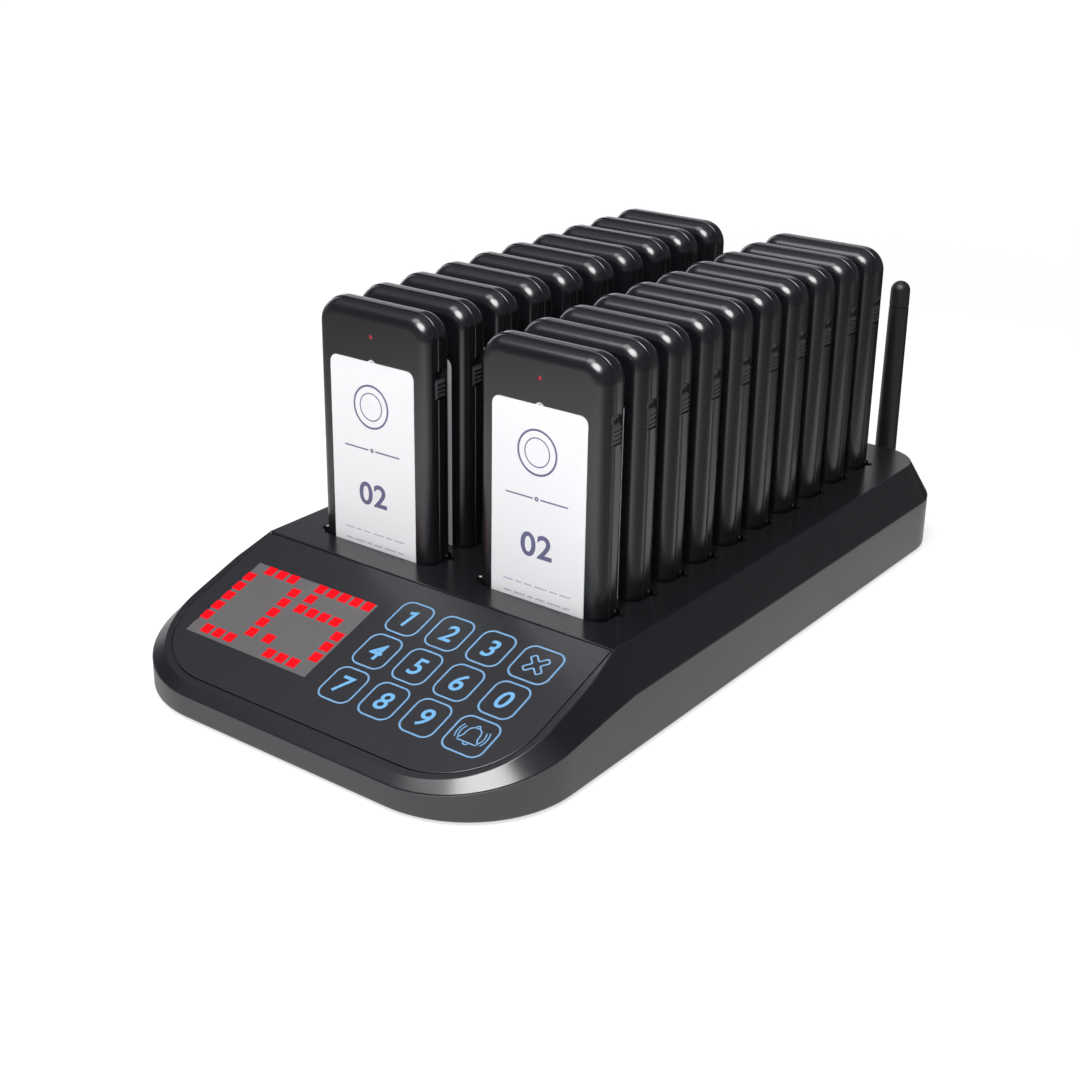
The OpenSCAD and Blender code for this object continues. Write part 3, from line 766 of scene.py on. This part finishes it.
# %% Key frames
KEY_X0, KEY_S0 = 4.29, -16.5
COLUMN_X = [KEY_X0, KEY_X0 + 17.01, KEY_X0 + 34.02, KEY_X0 + 52.02]
KEY_W, KEY_L, BROADER = 12.9, 14.6, 1.16
INK_T = 0.04


def key_place(column, row):
    return on_console(COLUMN_X[column], KEY_S0 - row * KEY_PITCH, INK_T / 2)


tree = Growth("rounded frames on points", {
    "Width": 0.0129, "Length": 0.0146, "Radius": 0.0036, "Line": 0.00066,
    "Thickness": 0.00004, "Slope": SLOPE, "Steps": 8}, FRAME_BLUE)
wire = tree.wire
flat, section = (tree.node("GeometryNodeCurvePrimitiveQuadrilateral", {
    "Width": wire[width], "Height": wire[height]})
    for width, height in (("Width", "Length"), ("Line", "Thickness")))
border = tree.node("GeometryNodeFilletCurve", {
    "Curve": flat, "Radius": wire["Radius"], "Count": wire["Steps"]}, {"mode": "POLY"})
swept = tree.node("GeometryNodeCurveToMesh", {"Curve": border, "Profile Curve": section})
tree.close(tree.spread(swept, rotation=tree.xyz(X=wire["Slope"])))
for name, width, places in (
        ("key_frames", KEY_W, [(c, r) for r in range(3) for c in range(3)] + [(3, 1)]),
        ("wide_key_frames", KEY_W * BROADER, [(3, 0), (3, 2)])):
    thing = tree.grow(name, [key_place(*place) for place in places],
                      Width=width * MM, Length=KEY_L * MM)
    dress(thing, "base", "overlay_black", "keypad_overlay")
    report(thing)

# %% [markdown]
# ## Figures
# Plain numbers come from the built-in font, heavier by Offset and slanted by Shear,
# as meshes whose points are moved into place. The one, the cross and the bell are
# strokes: lines with a width and a thickness.

# %% Key figures
def figure(text, size, offset, shear, spacing=1.0):
    """A number as a skin, centred on its middle, in millimetres."""
    words = bpy.data.curves.new("figure", "FONT")
    words.body, words.size = text, size
    words.offset, words.shear, words.space_character = offset, shear, spacing
    words.align_x, words.extrude, words.resolution_u = "CENTER", INK_T / 2, 6
    holder = bpy.data.objects.new("figure", words)
    bpy.context.scene.collection.objects.link(holder)
    ready = holder.evaluated_get(bpy.context.evaluated_depsgraph_get())
    mesh = bpy.data.meshes.new_from_object(ready)
    skin = Skin([v.co.copy() for v in mesh.vertices], [tuple(p.vertices) for p in mesh.polygons])
    bpy.data.objects.remove(holder)
    bpy.data.curves.remove(words)
    bpy.data.meshes.remove(mesh)
    low, high = ([reach(p[k] for p in skin.points) for k in (0, 1)] for reach in (min, max))
    middle = Vector(((low[0] + high[0]) / 2, (low[1] + high[1]) / 2, 0))
    return skin.placed(lambda p: p - middle)


def stroke(line, width, loop=False):
    """A flat line of a given width, as a thin closed solid round z = 0."""
    flat = [Vector((p[0], p[1])) for p in line]
    n = len(flat)
    left, right = [], []
    for i, p in enumerate(flat):
        before = flat[(i - 1) % n] if loop or i else p
        after = flat[(i + 1) % n] if loop or i < n - 1 else p
        a = (p - before).normalized() if before != p else (after - p).normalized()
        b = (after - p).normalized() if after != p else a
        side = Vector((-(a + b).y, (a + b).x)).normalized()
        grow = width / 2 / max(0.5, side.dot(Vector((-a.y, a.x))))
        left.append(p + side * grow)
        right.append(p - side * grow)
    skin = Skin([Vector((p.x, p.y, z)) for z in (-INK_T / 2, INK_T / 2) for p in left + right])
    for i in range(n if loop else n - 1):
        j = (i + 1) % n
        skin.faces += [(i, j, n + j, n + i), (2 * n + i, 3 * n + i, 3 * n + j, 2 * n + j),
                       (i, 2 * n + i, 2 * n + j, j), (n + j, 3 * n + j, 3 * n + i, n + i)]
    if not loop:
        e = n - 1
        skin.faces += [(0, n, 3 * n, 2 * n), (e, 2 * n + e, 3 * n + e, n + e)]
    return skin


def laid_on_key(skin, column, row):
    return skin.placed(lambda p: on_console(
        COLUMN_X[column] + p[0], KEY_S0 - row * KEY_PITCH + p[1], INK_T / 2 + p[2]))


FIGURE_SIZE, FIGURE_FAT, SLANT = 10.4, 0.13, 0.12
ONE, ONE_WIDTH = [(-1.9, 2.45), (0.25, 3.1), (-0.25, -3.75)], 1.2
one = stroke([(x + SLANT * y, y) for x, y in ONE], ONE_WIDTH)
figures = merged("key_figures", [
    laid_on_key(one if text == "1" else figure(text, FIGURE_SIZE, FIGURE_FAT, SLANT), column, row)
    for row, line in enumerate(("123", "4560", "789")) for column, text in enumerate(line)],
    KEY_BLUE)
dress(figures, "base", "overlay_black", "keypad_overlay")
report(figures)

# %% [markdown]
# An outlined x, and an outlined bell with a clapper and two ringing arcs on each
# side.

# %% Cross and bell
def cross_line(arm, half):
    """Outline of an upright plus with arms of the given reach and half-width."""
    return [(half, half), (half, arm), (-half, arm), (-half, half), (-arm, half),
            (-arm, -half), (-half, -half), (-half, -arm), (half, -arm), (half, -half),
            (arm, -half), (arm, half)]


def turned(line, degrees):
    c, s = cos(radians(degrees)), sin(radians(degrees))
    return [(x * c - y * s, x * s + y * c) for x, y in line]


def rounded(line, radius, steps=4):
    """A closed line with its corners rounded."""
    flat = [Vector((*p, 0)) for p in line]
    return [(p.x, p.y) for i, corner in enumerate(flat)
            for p in fillet(flat[i - 1], corner, flat[(i + 1) % len(flat)], radius, steps)]


cross = stroke(rounded(turned(cross_line(4.3, 1.05), 45), 0.55), 0.55, True)
bell_side = [(0.9, 3.5), (2.1, 2.7), (2.6, 1.2), (2.75, -0.6), (3.9, -2.2), (3.6, -2.7)]
bell_line = bell_side + [(-x, y) for x, y in reversed(bell_side)]
bell = [stroke(rounded(bell_line, 0.5, 3), 0.45, True),
        stroke(arc(0, -2.7, 1.0, 200, 340, 8), 0.45),
        stroke(arc(0, 3.75, 0.7, -30, 210, 8), 0.4)]
bell += [stroke(arc(0, 0.6, reach, side - half, side + half, 8), 0.4)
         for side in (0, 180) for reach, half in ((4.5, 32), (5.6, 30))]
marks = merged("key_marks", [laid_on_key(cross, 3, 0)] + [laid_on_key(s, 3, 2) for s in bell],
               FRAME_BLUE)
dress(marks, "base", "overlay_black", "keypad_overlay")
report(marks)

# %% [markdown]
# ## A pager
# Two thin shells. The front edge is a quarter ellipse, the back edge has a radius
# of 5 mm. The back shell is a little larger, and its small rounded rim behind the
# seam draws the fine bright line round every pager. One pager is made at the
# origin, its foot at z = 0 and its face at y = 0, and is then copied.

# %% The shells of a pager
PAGER_STEPS, SHELL_SHARP = 12, 25
BOTTOM_R, BOTTOM_SOFT, SHELL_WALL = 6.0, 1.5, 1.6
SEAM_Y, SEAM_EDGE, FRONT_IN, BACK_IN = 5.2, 0.45, 0.55, 0.15


def pager_ring(y, inset):
    low = min(inset, BOTTOM_SOFT)
    return [(x, y, z) for x, z in reversed(outline(
        PAGER_W / 2 - inset, low, PAGER_H - inset, max(1.0, BOTTOM_R - inset),
        PAGER_R - inset, PAGER_STEPS))]


def quarter(n):
    """How far a quarter turn has come, sideways and forwards, in n steps."""
    angles = [radians(90 * k / n) for k in range(n + 1)]
    return [(1 - cos(a), sin(a)) for a in angles]


def front_shell():
    outer = [pager_ring(SEAM_Y * c, FRONT_IN + (FRONT_ROUND - FRONT_IN) * (1 - s))
             for c, s in quarter(14)][:-1]
    outer += [pager_ring(SEAM_Y - 0.15, FRONT_IN), pager_ring(SEAM_Y, FRONT_IN + 0.15)]
    w = SHELL_WALL
    inner = [pager_ring(w + (SEAM_Y - w) * c, w + (FRONT_ROUND - w) * (1 - s))
             for c, s in reversed(quarter(5))]
    return closed(outer + inner)


def back_shell():
    mid, start = PAGER_T - BACK_ROUND, SEAM_Y + 0.04
    outer = [pager_ring(start + SEAM_EDGE * c, BACK_IN + SEAM_EDGE * (1 - s))
             for c, s in quarter(6)]
    outer += [pager_ring(mid + BACK_ROUND * s, BACK_IN + BACK_ROUND * c) for c, s in quarter(12)]
    w, r = SHELL_WALL, BACK_ROUND - SHELL_WALL
    inner = [pager_ring(mid + r * s, BACK_IN + w + r * c) for c, s in reversed(quarter(4))]
    return closed(inner + [pager_ring(start, BACK_IN + w)] + outer)


CARD_W, CARD_H, CARD_TOP, CARD_SEAT = 37.7, 75.0, PAGER_H - 19.5, 0.5
LAMP_Z, LAMP_R = PAGER_H - 10.6, 0.8
KNOB_Z, KNOB_L, KNOB_W, KNOB_TRAVEL = PAGER_H - 28.6, 6.6, 4.4, 2.4
KNOB_Y, KNOB_FACE = FRONT_T + 0.4, PAGER_W / 2 - STEP
TRACK_FLOOR, TRACK_GAP = KNOB_FACE - 0.55, 0.25
THUMB_R, THUMB_DROP, NAIL_R = 2.3, 1.2, 2.6


def card_ring(gap, y):
    return [(x, y, z) for x, z in reversed(outline(
        CARD_W / 2 + gap, CARD_TOP - CARD_H - gap, CARD_TOP + gap, 1.0, 3.0, 8))]


def face_disc(x, z, y, r, n=28):
    return [(x + a, y, z - b) for a, b in circle(r, n)]


def solid_box(x0, x1, y0, y1, z0, z1):
    return closed([[(x0, y0, z), (x1, y0, z), (x1, y1, z), (x0, y1, z)] for z in (z0, z1)])


def well_cutters():
    """The switch's well, and over it the half-round dip for a fingernail."""
    gap, run = TRACK_GAP, KNOB_L + KNOB_TRAVEL
    well = solid_box(TRACK_FLOOR, PAGER_W, KNOB_Y - KNOB_W / 2 - gap, KNOB_Y + KNOB_W / 2 + gap,
                     KNOB_Z - gap, KNOB_Z + run + gap)
    ball = bmesh.new()
    bmesh.ops.create_uvsphere(ball, u_segments=24, v_segments=16, radius=NAIL_R * MM)
    bmesh.ops.translate(ball, verts=ball.verts, vec=Vector(
        (KNOB_FACE + 1.5, KNOB_Y, KNOB_Z + KNOB_L + 1.3)) * MM)
    mesh = bpy.data.meshes.new("nail_notch")
    ball.to_mesh(mesh)
    ball.free()
    return merged("well", [well]), make_object("nail_notch", mesh, PAGER)


front = merged("front_shell", [front_shell()], PAGER)
pocket = merged("card_pocket", [prism([(0.15, CARD_SEAT), (0.15, 0.1), (0.4, -0.15)], card_ring)])
dips = [merged(name, [prism([(0, z, y, r) for y in (depth, -1)], face_disc)])
        for name, z, r, depth in (("thumb", CARD_TOP - THUMB_DROP, THUMB_R, CARD_SEAT),
                                  ("lamp_hole", LAMP_Z, LAMP_R + 0.05, 3))]
soften(cut(front, pocket, *dips, *well_cutters()), SHELL_SHARP)
back = merged("back_shell", [back_shell()], PAGER_BACK)
report(front, back)

# %% [markdown]
# The back shell's inner and outer skins join in a rim at the front. Four small
# screw seats are sunk in its back wall.

# %% Finish the back shell
seats = [prism([(x, z, y, 1.9) for y in (PAGER_T + 1, PAGER_T - 0.7)], face_disc)
         for x in (-14, 14) for z in (20, PAGER_H - 22)]
soften(cut(back, merged("seats", seats), *well_cutters()), SHELL_SHARP)
report(back)

# %% [markdown]
# ## The card, its print, the lamp and the contacts
# The card lies in a shallow pocket of the face. It carries a plain number, two thin
# circles, a rule and two rows of dashes. The lamp is a small red lens, and two gold
# contacts sit in the foot.

# %% Small parts of a pager
CARD_FACE = CARD_SEAT - 0.44
CARD_X, NUMBER_X, NUMBER_Z = -0.5, -0.4, 42.2
PLATE_Z, RULE_Z = 74.5, 58.6
NUMBER_SIZE, NUMBER_FAT, NUMBER_SPACING, NUMBER_WIDTH = 11.6, 0.22, 1.04, 1.1


def notch_glare_arc():
    """A white arc of card that shows in the thumb notch: a painted highlight for the glare on the
    notch's rim.
    """
    rim = stroke(arc(0, -THUMB_DROP, THUMB_R - 0.55, 33, 147, 10), 0.6)
    return rim.placed(lambda p: (p[0], CARD_SEAT - 0.1 - p[2], CARD_TOP + p[1]))


def laid_on_card(skin, x, z):
    return skin.placed(lambda p: (x + p[0], CARD_FACE - INK_T / 2 - p[2], z + p[1]))


def dashes(z, lengths, gap=1.1, width=0.55):
    """A centred row of short dashes."""
    x = -(sum(lengths) + gap * (len(lengths) - 1)) / 2
    row = []
    for length in lengths:
        row.append(laid_on_card(stroke([(x, 0), (x + length, 0)], width), 0, z))
        x += length + gap
    return row


def card_print(number):
    """The darker print: the number, the plate and the rule."""
    text = figure(number, NUMBER_SIZE, NUMBER_FAT, 0.0, NUMBER_SPACING)
    wide = text.placed(lambda p: (NUMBER_WIDTH * p.x, p.y, p.z))
    rule = [stroke([(side * 1.6, 0), (side * 12.5, 0)], 0.5) for side in (-1, 1)]
    rule.append(stroke(arc(0, 0, 0.55, 0, 315, 7), 0.5, True))
    plate = [stroke(arc(0, 0, r, 0, 352.5, 47), width, True)
             for r, width in ((7.6, 0.7), (4.9, 0.4))]
    return ([laid_on_card(wide, NUMBER_X, NUMBER_Z)]
            + [laid_on_card(line, CARD_X, PLATE_Z) for line in plate]
            + [laid_on_card(line, CARD_X, RULE_Z) for line in rule])


# The card carries the white arc in the thumb notch, which is a painted highlight.
card = merged("card", [prism([(0.0, CARD_SEAT - 0.04), (0.0, CARD_FACE + 0.04),
                              (-0.04, CARD_FACE)], card_ring), notch_glare_arc()])
soften(card)
pale = merged("card_lines", dashes(27.6, [4, 2.4, 3.2, 5, 3, 4.4])
              + dashes(23.4, [3, 4.6, 2.2, 3.8, 5.2, 2.6]), CARD_PALE)
LENS = [(2.6, 1.0), (0.45, 1.0), (0.2, 0.92), (0.06, 0.65), (0.0, 0.25)]
lamp = merged("lamp", [prism([(0, LAMP_Z, y, r * LAMP_R, 24) for y, r in LENS], face_disc)])
soften(lamp, 40)
CONTACT_X, CONTACT_Y = 8, 8.6
contacts = merged("contacts", [
    prism([(x, CONTACT_Y, z, r, 24) for z, r in ((0.0, 1.3), (0.15, 1.55), (4.0, 1.55))], disc)
    for x in (-CONTACT_X, CONTACT_X)])
soften(contacts)
report(card, pale, lamp, contacts)

# %% [markdown]
# ## The slide switch
# The knob has four ribs: a mesh line gives their places, a half-sunk cylinder lies
# on each, and the body of the knob is joined to them.

# %% Switch knob with ribs
RIBS, RIB_PITCH = 4, KNOB_L / 4.4


def knob_body():
    x0, x1, e = TRACK_FLOOR + 0.03, KNOB_FACE - 0.1, 0.25
    y0, y1 = KNOB_Y - KNOB_W / 2, KNOB_Y + KNOB_W / 2
    z0, z1 = KNOB_Z, KNOB_Z + KNOB_L
    return closed([[(x, y0 + g, z0 + g), (x, y1 - g, z0 + g), (x, y1 - g, z1 - g),
                    (x, y0 + g, z1 - g)] for x, g in ((x0, 0), (x1 - e, 0), (x1, e))])


tree = Growth("ribs on a knob", {
    "Ribs": RIBS, "Pitch": 0.0015, "Radius": 0.0005, "Length": 0.0038,
    "First X": KNOB_FACE * MM, "First Y": KNOB_Y * MM, "First Z": KNOB_Z * MM}, SWITCH)
wire = tree.wire
line = tree.node("GeometryNodeMeshLine", {
    "Count": wire["Ribs"], "Offset": tree.xyz(Z=wire["Pitch"]), "Start Location": tree.xyz(
        X=wire["First X"], Y=wire["First Y"], Z=wire["First Z"])}, {"mode": "OFFSET"})
rib = tree.cylinder(16, wire["Radius"], wire["Length"])
spread = tree.spread(rib, line, (radians(90), 0, 0))
tree.close(tree.joined(spread, wire["Geometry"]))
knob = tree.run(merged("knob", [knob_body()]), Ribs=RIBS, Pitch=RIB_PITCH * MM,
                First_X=(KNOB_FACE - 0.1) * MM, First_Z=(KNOB_Z + RIB_PITCH * 0.7) * MM)
soften(knob)
report(knob)

# %% [markdown]
# ## Twenty pagers
# Copies are moved to their slots inside the mesh, so that each object stays at the
# origin. The cards are numbered in order, but the two front ones both read 02, as
# in the photograph.

# %% Copies in the slots
def copied(source, name, i, material):
    mesh = source.data.copy()
    mesh.transform(Matrix.Translation(SLOTS[i] * MM))
    return make_object(name, mesh, material)


SHOWN_NUMBER = {0: "02", PER_ROW: "02"}
for i in range(2 * PER_ROW):
    label = f"pager_{i + 1:02d}"
    ink = merged("ink", card_print(SHOWN_NUMBER.get(i, label[-2:])), CARD_INK)
    for source, part, material, slot, node in (
            (front, "front", PAGER, "pager_black", "_front_shell"),
            (back, "back", PAGER_BACK, "pager_black", "_back_shell"),
            (card, "plate", CARD, "card_white", "_card"),
            (ink, "number", CARD_INK, "card_white", None),
            (pale, "lines", CARD_PALE, "card_white", None),
            (lamp, "lamp", LAMP, "pager_black", None),
            (contacts, "contacts", GOLD, "pin_gold", None)):
        nodes = [label + node if i == 0 else label] if node else []
        dress(copied(source, f"{label}_{part}", i, material), label, slot, *nodes)
    switch = f"{label}_switch"
    dress(copied(knob, f"{label}_knob", i, SWITCH), switch, "switch_black", switch)
    bpy.data.objects.remove(ink)
for source in (front, back, card, pale, lamp, contacts, knob):
    bpy.data.objects.remove(source)
print("pagers dressed", 2 * PER_ROW)

# %% [markdown]
# ## The antenna
# A turned whip with a slight taper, a fine groove near the tip and a round end. Its
# flat tongue stands between the ears of the knuckle.

# %% Whip
PIVOT_Y = REAR_Y + 12.5
WHIP_R, TIP_R, WHIP_TOP, WHIP_START = 4.4, 3.9, 99.5 - SOCKET_Z, 5.3
GROOVE_Z = WHIP_TOP - 10.5


def whip_radius(z):
    return WHIP_R + (TIP_R - WHIP_R) * (z - WHIP_START) / (WHIP_TOP - WHIP_START)


profile = [(WHIP_START + z, WHIP_R - drop) for z, drop in ((0, 0.5), (0.15, 0.15), (0.5, 0))]
profile += [(z, whip_radius(z)) for z in (30, 50, GROOVE_Z - 0.4)]
profile += [(GROOVE_Z + z, whip_radius(GROOVE_Z) - drop)
            for z, drop in ((-0.25, 0.3), (0.25, 0.3), (0.4, 0))]
profile += [(WHIP_TOP - TIP_R + TIP_R * sin(radians(a)),
             TIP_R * cos(radians(a))) for a in range(0, 88, 8)]
tongue = [(3.6, 5.6), (-3.6, 5.6)] + arc(0, 0, 4.4, 180, 360, 20)
whip = merged("antenna_rod", [
    prism([(ANTENNA_X, PIVOT_Y, SOCKET_Z + z, r, 48) for z, r in profile], disc),
    closed([[(ANTENNA_X + x, PIVOT_Y + y, SOCKET_Z + z) for y, z in tongue] for x in (-2, 2)])],
    ANTENNA)
finish(whip, "antenna_whip", "antenna_black", "antenna_whip", sharp=30)

# %% [markdown]
# ## Feet, screws and charging pins
# Parts that repeat stand on points as instances: a foot with a chamfered edge, a
# screw with a cross recess, and a sprung pin of a barrel and a plunger.

# %% Feet
tree = Growth("feet on points", {
    "Radius": 0.007, "Height": 0.0022, "Edge": 0.0005, "Sides": 48}, RUBBER)
radius, height, edge, sides = (tree.wire[k] for k in ("Radius", "Height", "Edge", "Sides"))
barrel = tree.cylinder(sides, radius, height - edge)
tip = tree.cone(sides, radius, radius - edge, edge)
moved = tree.lifted(tip, (height - edge) * -0.5 - edge + 0.00001)
foot = tree.lifted(tree.joined(barrel, moved), (height + edge) / 2)
tree.close(tree.spread(foot))
finish(tree.grow("feet", [(x, y, 0) for x, y in FEET], Height=0.0022),
       "base", "foot_rubber", "rubber_feet")

# %% Screws
tree = Growth("screws on points", {
    "Head radius": 0.0028, "Head height": 0.002, "Slot width": 0.0007,
    "Slot depth": 0.001, "Shank radius": 0.0015, "Shank length": 0.014}, STEEL)
wire = tree.wire
height, width, long_way = wire["Head height"], wire["Slot width"], wire["Head radius"] * 1.3
head = tree.node("GeometryNodeMeshBoolean", {
    "Mesh 1": tree.cylinder(32, wire["Head radius"], height)}, {"operation": "DIFFERENCE"})
for x, y in ((long_way, width), (width, long_way)):
    bar = tree.lifted(tree.box(x, y, wire["Slot depth"] * 2), height * -0.5)
    tree.put(head.socket.node.inputs["Mesh 2"], bar)
shank = tree.cylinder(20, wire["Shank radius"], wire["Shank length"])
stem = tree.lifted(shank, (height + wire["Shank length"]) / 2 + 0.00002)
tree.close(tree.spread(tree.joined(head, stem)))
finish(tree.grow("casing_screws_cross", [(x, y, STAND + 4) for x, y in SCREWS],
                 Head_radius=0.0028), "base", "screw_steel", "casing_screws")

# %% Charging pins
tree = Growth("sprung pins on points", {
    "Barrel radius": 0.001, "Barrel height": 0.001, "Plunger radius": 0.00065,
    "Plunger height": 0.0005}, GOLD)
wire = tree.wire
height, tip, radius = wire["Barrel height"], wire["Plunger height"], wire["Plunger radius"]
barrel = tree.lifted(tree.cylinder(20, wire["Barrel radius"], height),
                     tip * -1.0 - height * 0.5)
plunger = tree.lifted(tree.cone(20, radius * 0.6, radius, tip), tip * -1.0)
tree.close(tree.spread(tree.joined(barrel, plunger)))
spots = [(p.x + d, p.y + CONTACT_Y, SEAT_Z) for p in SLOTS for d in (-CONTACT_X, CONTACT_X)]
finish(tree.grow("sprung_pins", spots, Barrel_height=0.001), "base", "pin_gold",
       "charge_pins")

# %% [markdown]
# ## The power inlet
# A round collar in the rear wall with a bore of 5.6 mm and a thin centre pin.

# %% Inlet
INNER_Y = REAR_Y - WALL


def turned_at_inlet(layers, n=40):
    return prism([(INLET_X, SOCKET_Z, y, r, n) for y, r in layers], rear_disc)


body = solid_box(INLET_X - 5.5, INLET_X + 5.5, INNER_Y - 11, INNER_Y, STAND + WALL,
                 SOCKET_Z + 5.5)
collar = turned_at_inlet(((REAR_Y - 0.2, 3.75), (REAR_Y - 0.45, 4.0), (INNER_Y - 1, 4.0)))
bore = turned_at_inlet(((REAR_Y + 1, 4.2), (REAR_Y - 0.6, 2.8), (INNER_Y - 9, 2.8)))
pin = turned_at_inlet(((REAR_Y - 1.5, 0.6), (REAR_Y - 1.9, 1.0), (INNER_Y - 9, 1.0)), 24)
for name, skin, material in (("inlet_body", body, INLET), ("inlet_collar", collar, INLET),
                             ("inlet_pin", pin, STEEL)):
    part = merged(name, [skin], material)
    if skin is not pin:
        cut(part, merged("bore", [bore]))
    finish(part, "base", "inlet_black", "power_inlet")

# %% [markdown]
# ## Finishes on the solids that stay
# The slot pockets, the boards, the antenna's socket and its knuckle have the
# right shape already. They keep their CAD mesh and get a finish from this script.

# %% CAD nodes that stay
KEPT = {"slot_pockets": POCKET, "keypad_board": BOARD, "main_board": BOARD,
        "charging_boards": BOARD, "antenna_socket": BRASS, "antenna_knuckle": ANTENNA,
        "pager_01_board": BOARD, "pager_01_battery": SWITCH}
for name, material in KEPT.items():
    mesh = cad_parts[name].data
    mesh.materials.clear()
    mesh.materials.append(material)
print("kept", sorted(KEPT))

# %% [markdown]
# ## The studio
# Black plastic shows what stands round it. The wide white floor shines a little for
# the camera, so the page is white, and its diffuse part keeps the soft shadow. A
# mirrored ray sees white boards and dark gaps instead, given by two ramps: one by
# the direction round the corner of a pager, one by the distance from it. Close to
# the base they are even. The sky is dark but for a low board behind on the left,
# which draws the thin line along the top of every pager.

# %% Floor and sky
def at_turns(*places):
    """Stops of a ramp: pairs of a direction in degrees, -180 to 180, and a grey."""
    return [((degrees + 180) / 360, grey(value)) for degrees, value in places]


def at_heights(*places):
    """Stops of a ramp: a place, a grey and how blue it is."""
    return [(place, grey(*tone)) for place, *tone in places]


MIRRORED = at_turns((-180, 0.1), (-162, 0.25), (-150, 1.0), (-110, 1.0), (-80, 0.75),
                    (-38, 0.9), (-4, 1.05), (24, 1.05), (58, 0.42), (80, 0.26), (128, 0.2),
                    (140, 0.85), (150, 0.8), (162, 0.12), (180, 0.1))
FADE = at_heights((0.0, 1.0), (0.30, 1.0), (0.37, 0.68), (0.43, 0.42), (0.50, 0.30), (1.0, 0.25))
PAGER_CORNER = (0.06, -0.07)
NEAR_HALF, NEAR_BACK, NEAR_GREY = 0.15, 0.061, 0.80


def floor_finish():
    material = bpy.data.materials.new("white studio floor")
    material.use_nodes = True
    material.node_tree.nodes.clear()
    tree = Tree(material.node_tree)
    camera_ray = tree.node("LightPath")
    mirror_ray = tree.maths("MAXIMUM", camera_ray.out("Is Glossy Ray"),
                            camera_ray.out("Is Transmission Ray"))
    where = tree.node("TexCoord", out="Object")
    across = tree.node("SeparateXYZ", {"Vector": where})
    x, y = across - PAGER_CORNER[0], across.out("Y") - PAGER_CORNER[1]
    mirrored = tree.vectors("MULTIPLY", tree.ramp(tree.turn(x, y), MIRRORED),
                            tree.ramp((x * x + y * y) ** 0.5, FADE))
    outside = tree.maths("MAXIMUM", tree.maths("ABSOLUTE", across) - HALF_W * MM,
                         tree.maths("ABSOLUTE", y - NEAR_BACK) - NEAR_HALF)
    near = tree.between(outside, 0.030, 0.055, 1.0, 0.0)
    far = tree.between(tree.vectors("LENGTH", where, out="Value"), 0.5, 1.5, 0.72, 1.0)
    image = tree.node("Emission", {
        "Color": tree.mix(near, mirrored, grey(NEAR_GREY)), "Strength": 1.0})
    matt, page = (tree.node("BsdfDiffuse", {"Color": grey(k)}) for k in (0.86, 0.35))
    shine = tree.node("Emission", {"Color": grey(1.0), "Strength": far})
    page = tree.node("AddShader", {0: page, 1: shine})
    lit = tree.node("MixShader", {0: mirror_ray, 1: matt, 2: image})
    both = tree.node("MixShader", {0: camera_ray, 1: lit, 2: page})
    end = tree.tree.nodes.new("ShaderNodeOutputMaterial")
    tree.put(end.inputs["Surface"], both)
    return material


FLOOR = 12000.0
corners = [(-FLOOR, -FLOOR, 0), (FLOOR, -FLOOR, 0), (FLOOR, FLOOR, 0), (-FLOOR, FLOOR, 0)]
merged("floor", [Skin(corners, [(0, 1, 2, 3)])], floor_finish())

HORIZON = at_turns((-180, 0.05), (-163, 0.15), (-152, 0.6), (-138, 1.0), (-112, 1.0),
                   (-98, 0.15), (-60, 0.04), (150, 0.03), (180, 0.05))
HORIZON_GAIN = (2.0, 2.0, 2.0)
LOW_SKY = at_heights((0.0, 1.0, 1.05), (0.12, 0.8, 1.05), (0.22, 0.36, 1.08),
                     (0.32, 0.09, 1.1), (0.42, 0.0))
HIGH_SKY = at_heights((0.0, 0.08, 1.1), (0.4, 0.09, 1.15), (0.62, 0.07, 1.15),
                      (0.76, 0.30, 1.15), (1.0, 0.30, 1.1))
world = bpy.data.worlds.new("studio")
bpy.context.scene.world = world
world.use_nodes = True
sky = Tree(world.node_tree)
way = sky.node("SeparateXYZ", {
    "Vector": sky.node("TexCoord", out="Generated")})
board = sky.vectors("MULTIPLY", sky.ramp(sky.turn(way, way.out("Y")), HORIZON), HORIZON_GAIN)
shade = sky.vectors("MULTIPLY_ADD", board, sky.ramp(way.out("Z"), LOW_SKY),
                    sky.ramp(way.out("Z"), HIGH_SKY))
background = next(n for n in world.node_tree.nodes if n.type == "BACKGROUND")
sky.put(background.inputs["Color"], sky.mix(sky.node("LightPath"), shade, grey(1.0)))
background.inputs["Strength"].default_value = 1.0
bpy.context.scene.view_settings.view_transform = "Standard"
print("floor and sky made")

# %% [markdown]
# Three soft boxes: a large one, high in front on the right, lights the whole and
# gives the highlights on the pagers' corners; a small one near the top gives the
# highlight on the nose; a weak one behind gives the sheen on the rear of the top.

# %% Lamps
LAMP_AIM = Vector((0, -0.02, 0.06))


def soft_box(name, turn, rise, distance, width, height, power):
    """An oval lamp: turn is its direction in degrees, 0 in front, rise its height."""
    data = bpy.data.lights.new(name, "AREA")
    data.shape, data.size, data.size_y, data.energy = "ELLIPSE", width, height, power
    box = bpy.data.objects.new(name, data)
    bpy.context.scene.collection.objects.link(box)
    turn, rise = radians(turn), radians(rise)
    aim = Vector((sin(turn) * cos(rise), -cos(turn) * cos(rise),
                  sin(rise)))
    box.location = aim * distance + LAMP_AIM
    box.rotation_mode = "QUATERNION"
    box.rotation_quaternion = aim.to_track_quat("Z", "Y")
    box.visible_camera = False


soft_box("key box", 24, 56, 1.3, 0.86, 0.86, 19.5)
soft_box("crown box", -50, 70, 1.3, 0.70, 0.70, 3.6)
soft_box("rear box", -164, 21, 1.6, 0.5, 0.4, 0.25)
print("lamps made")
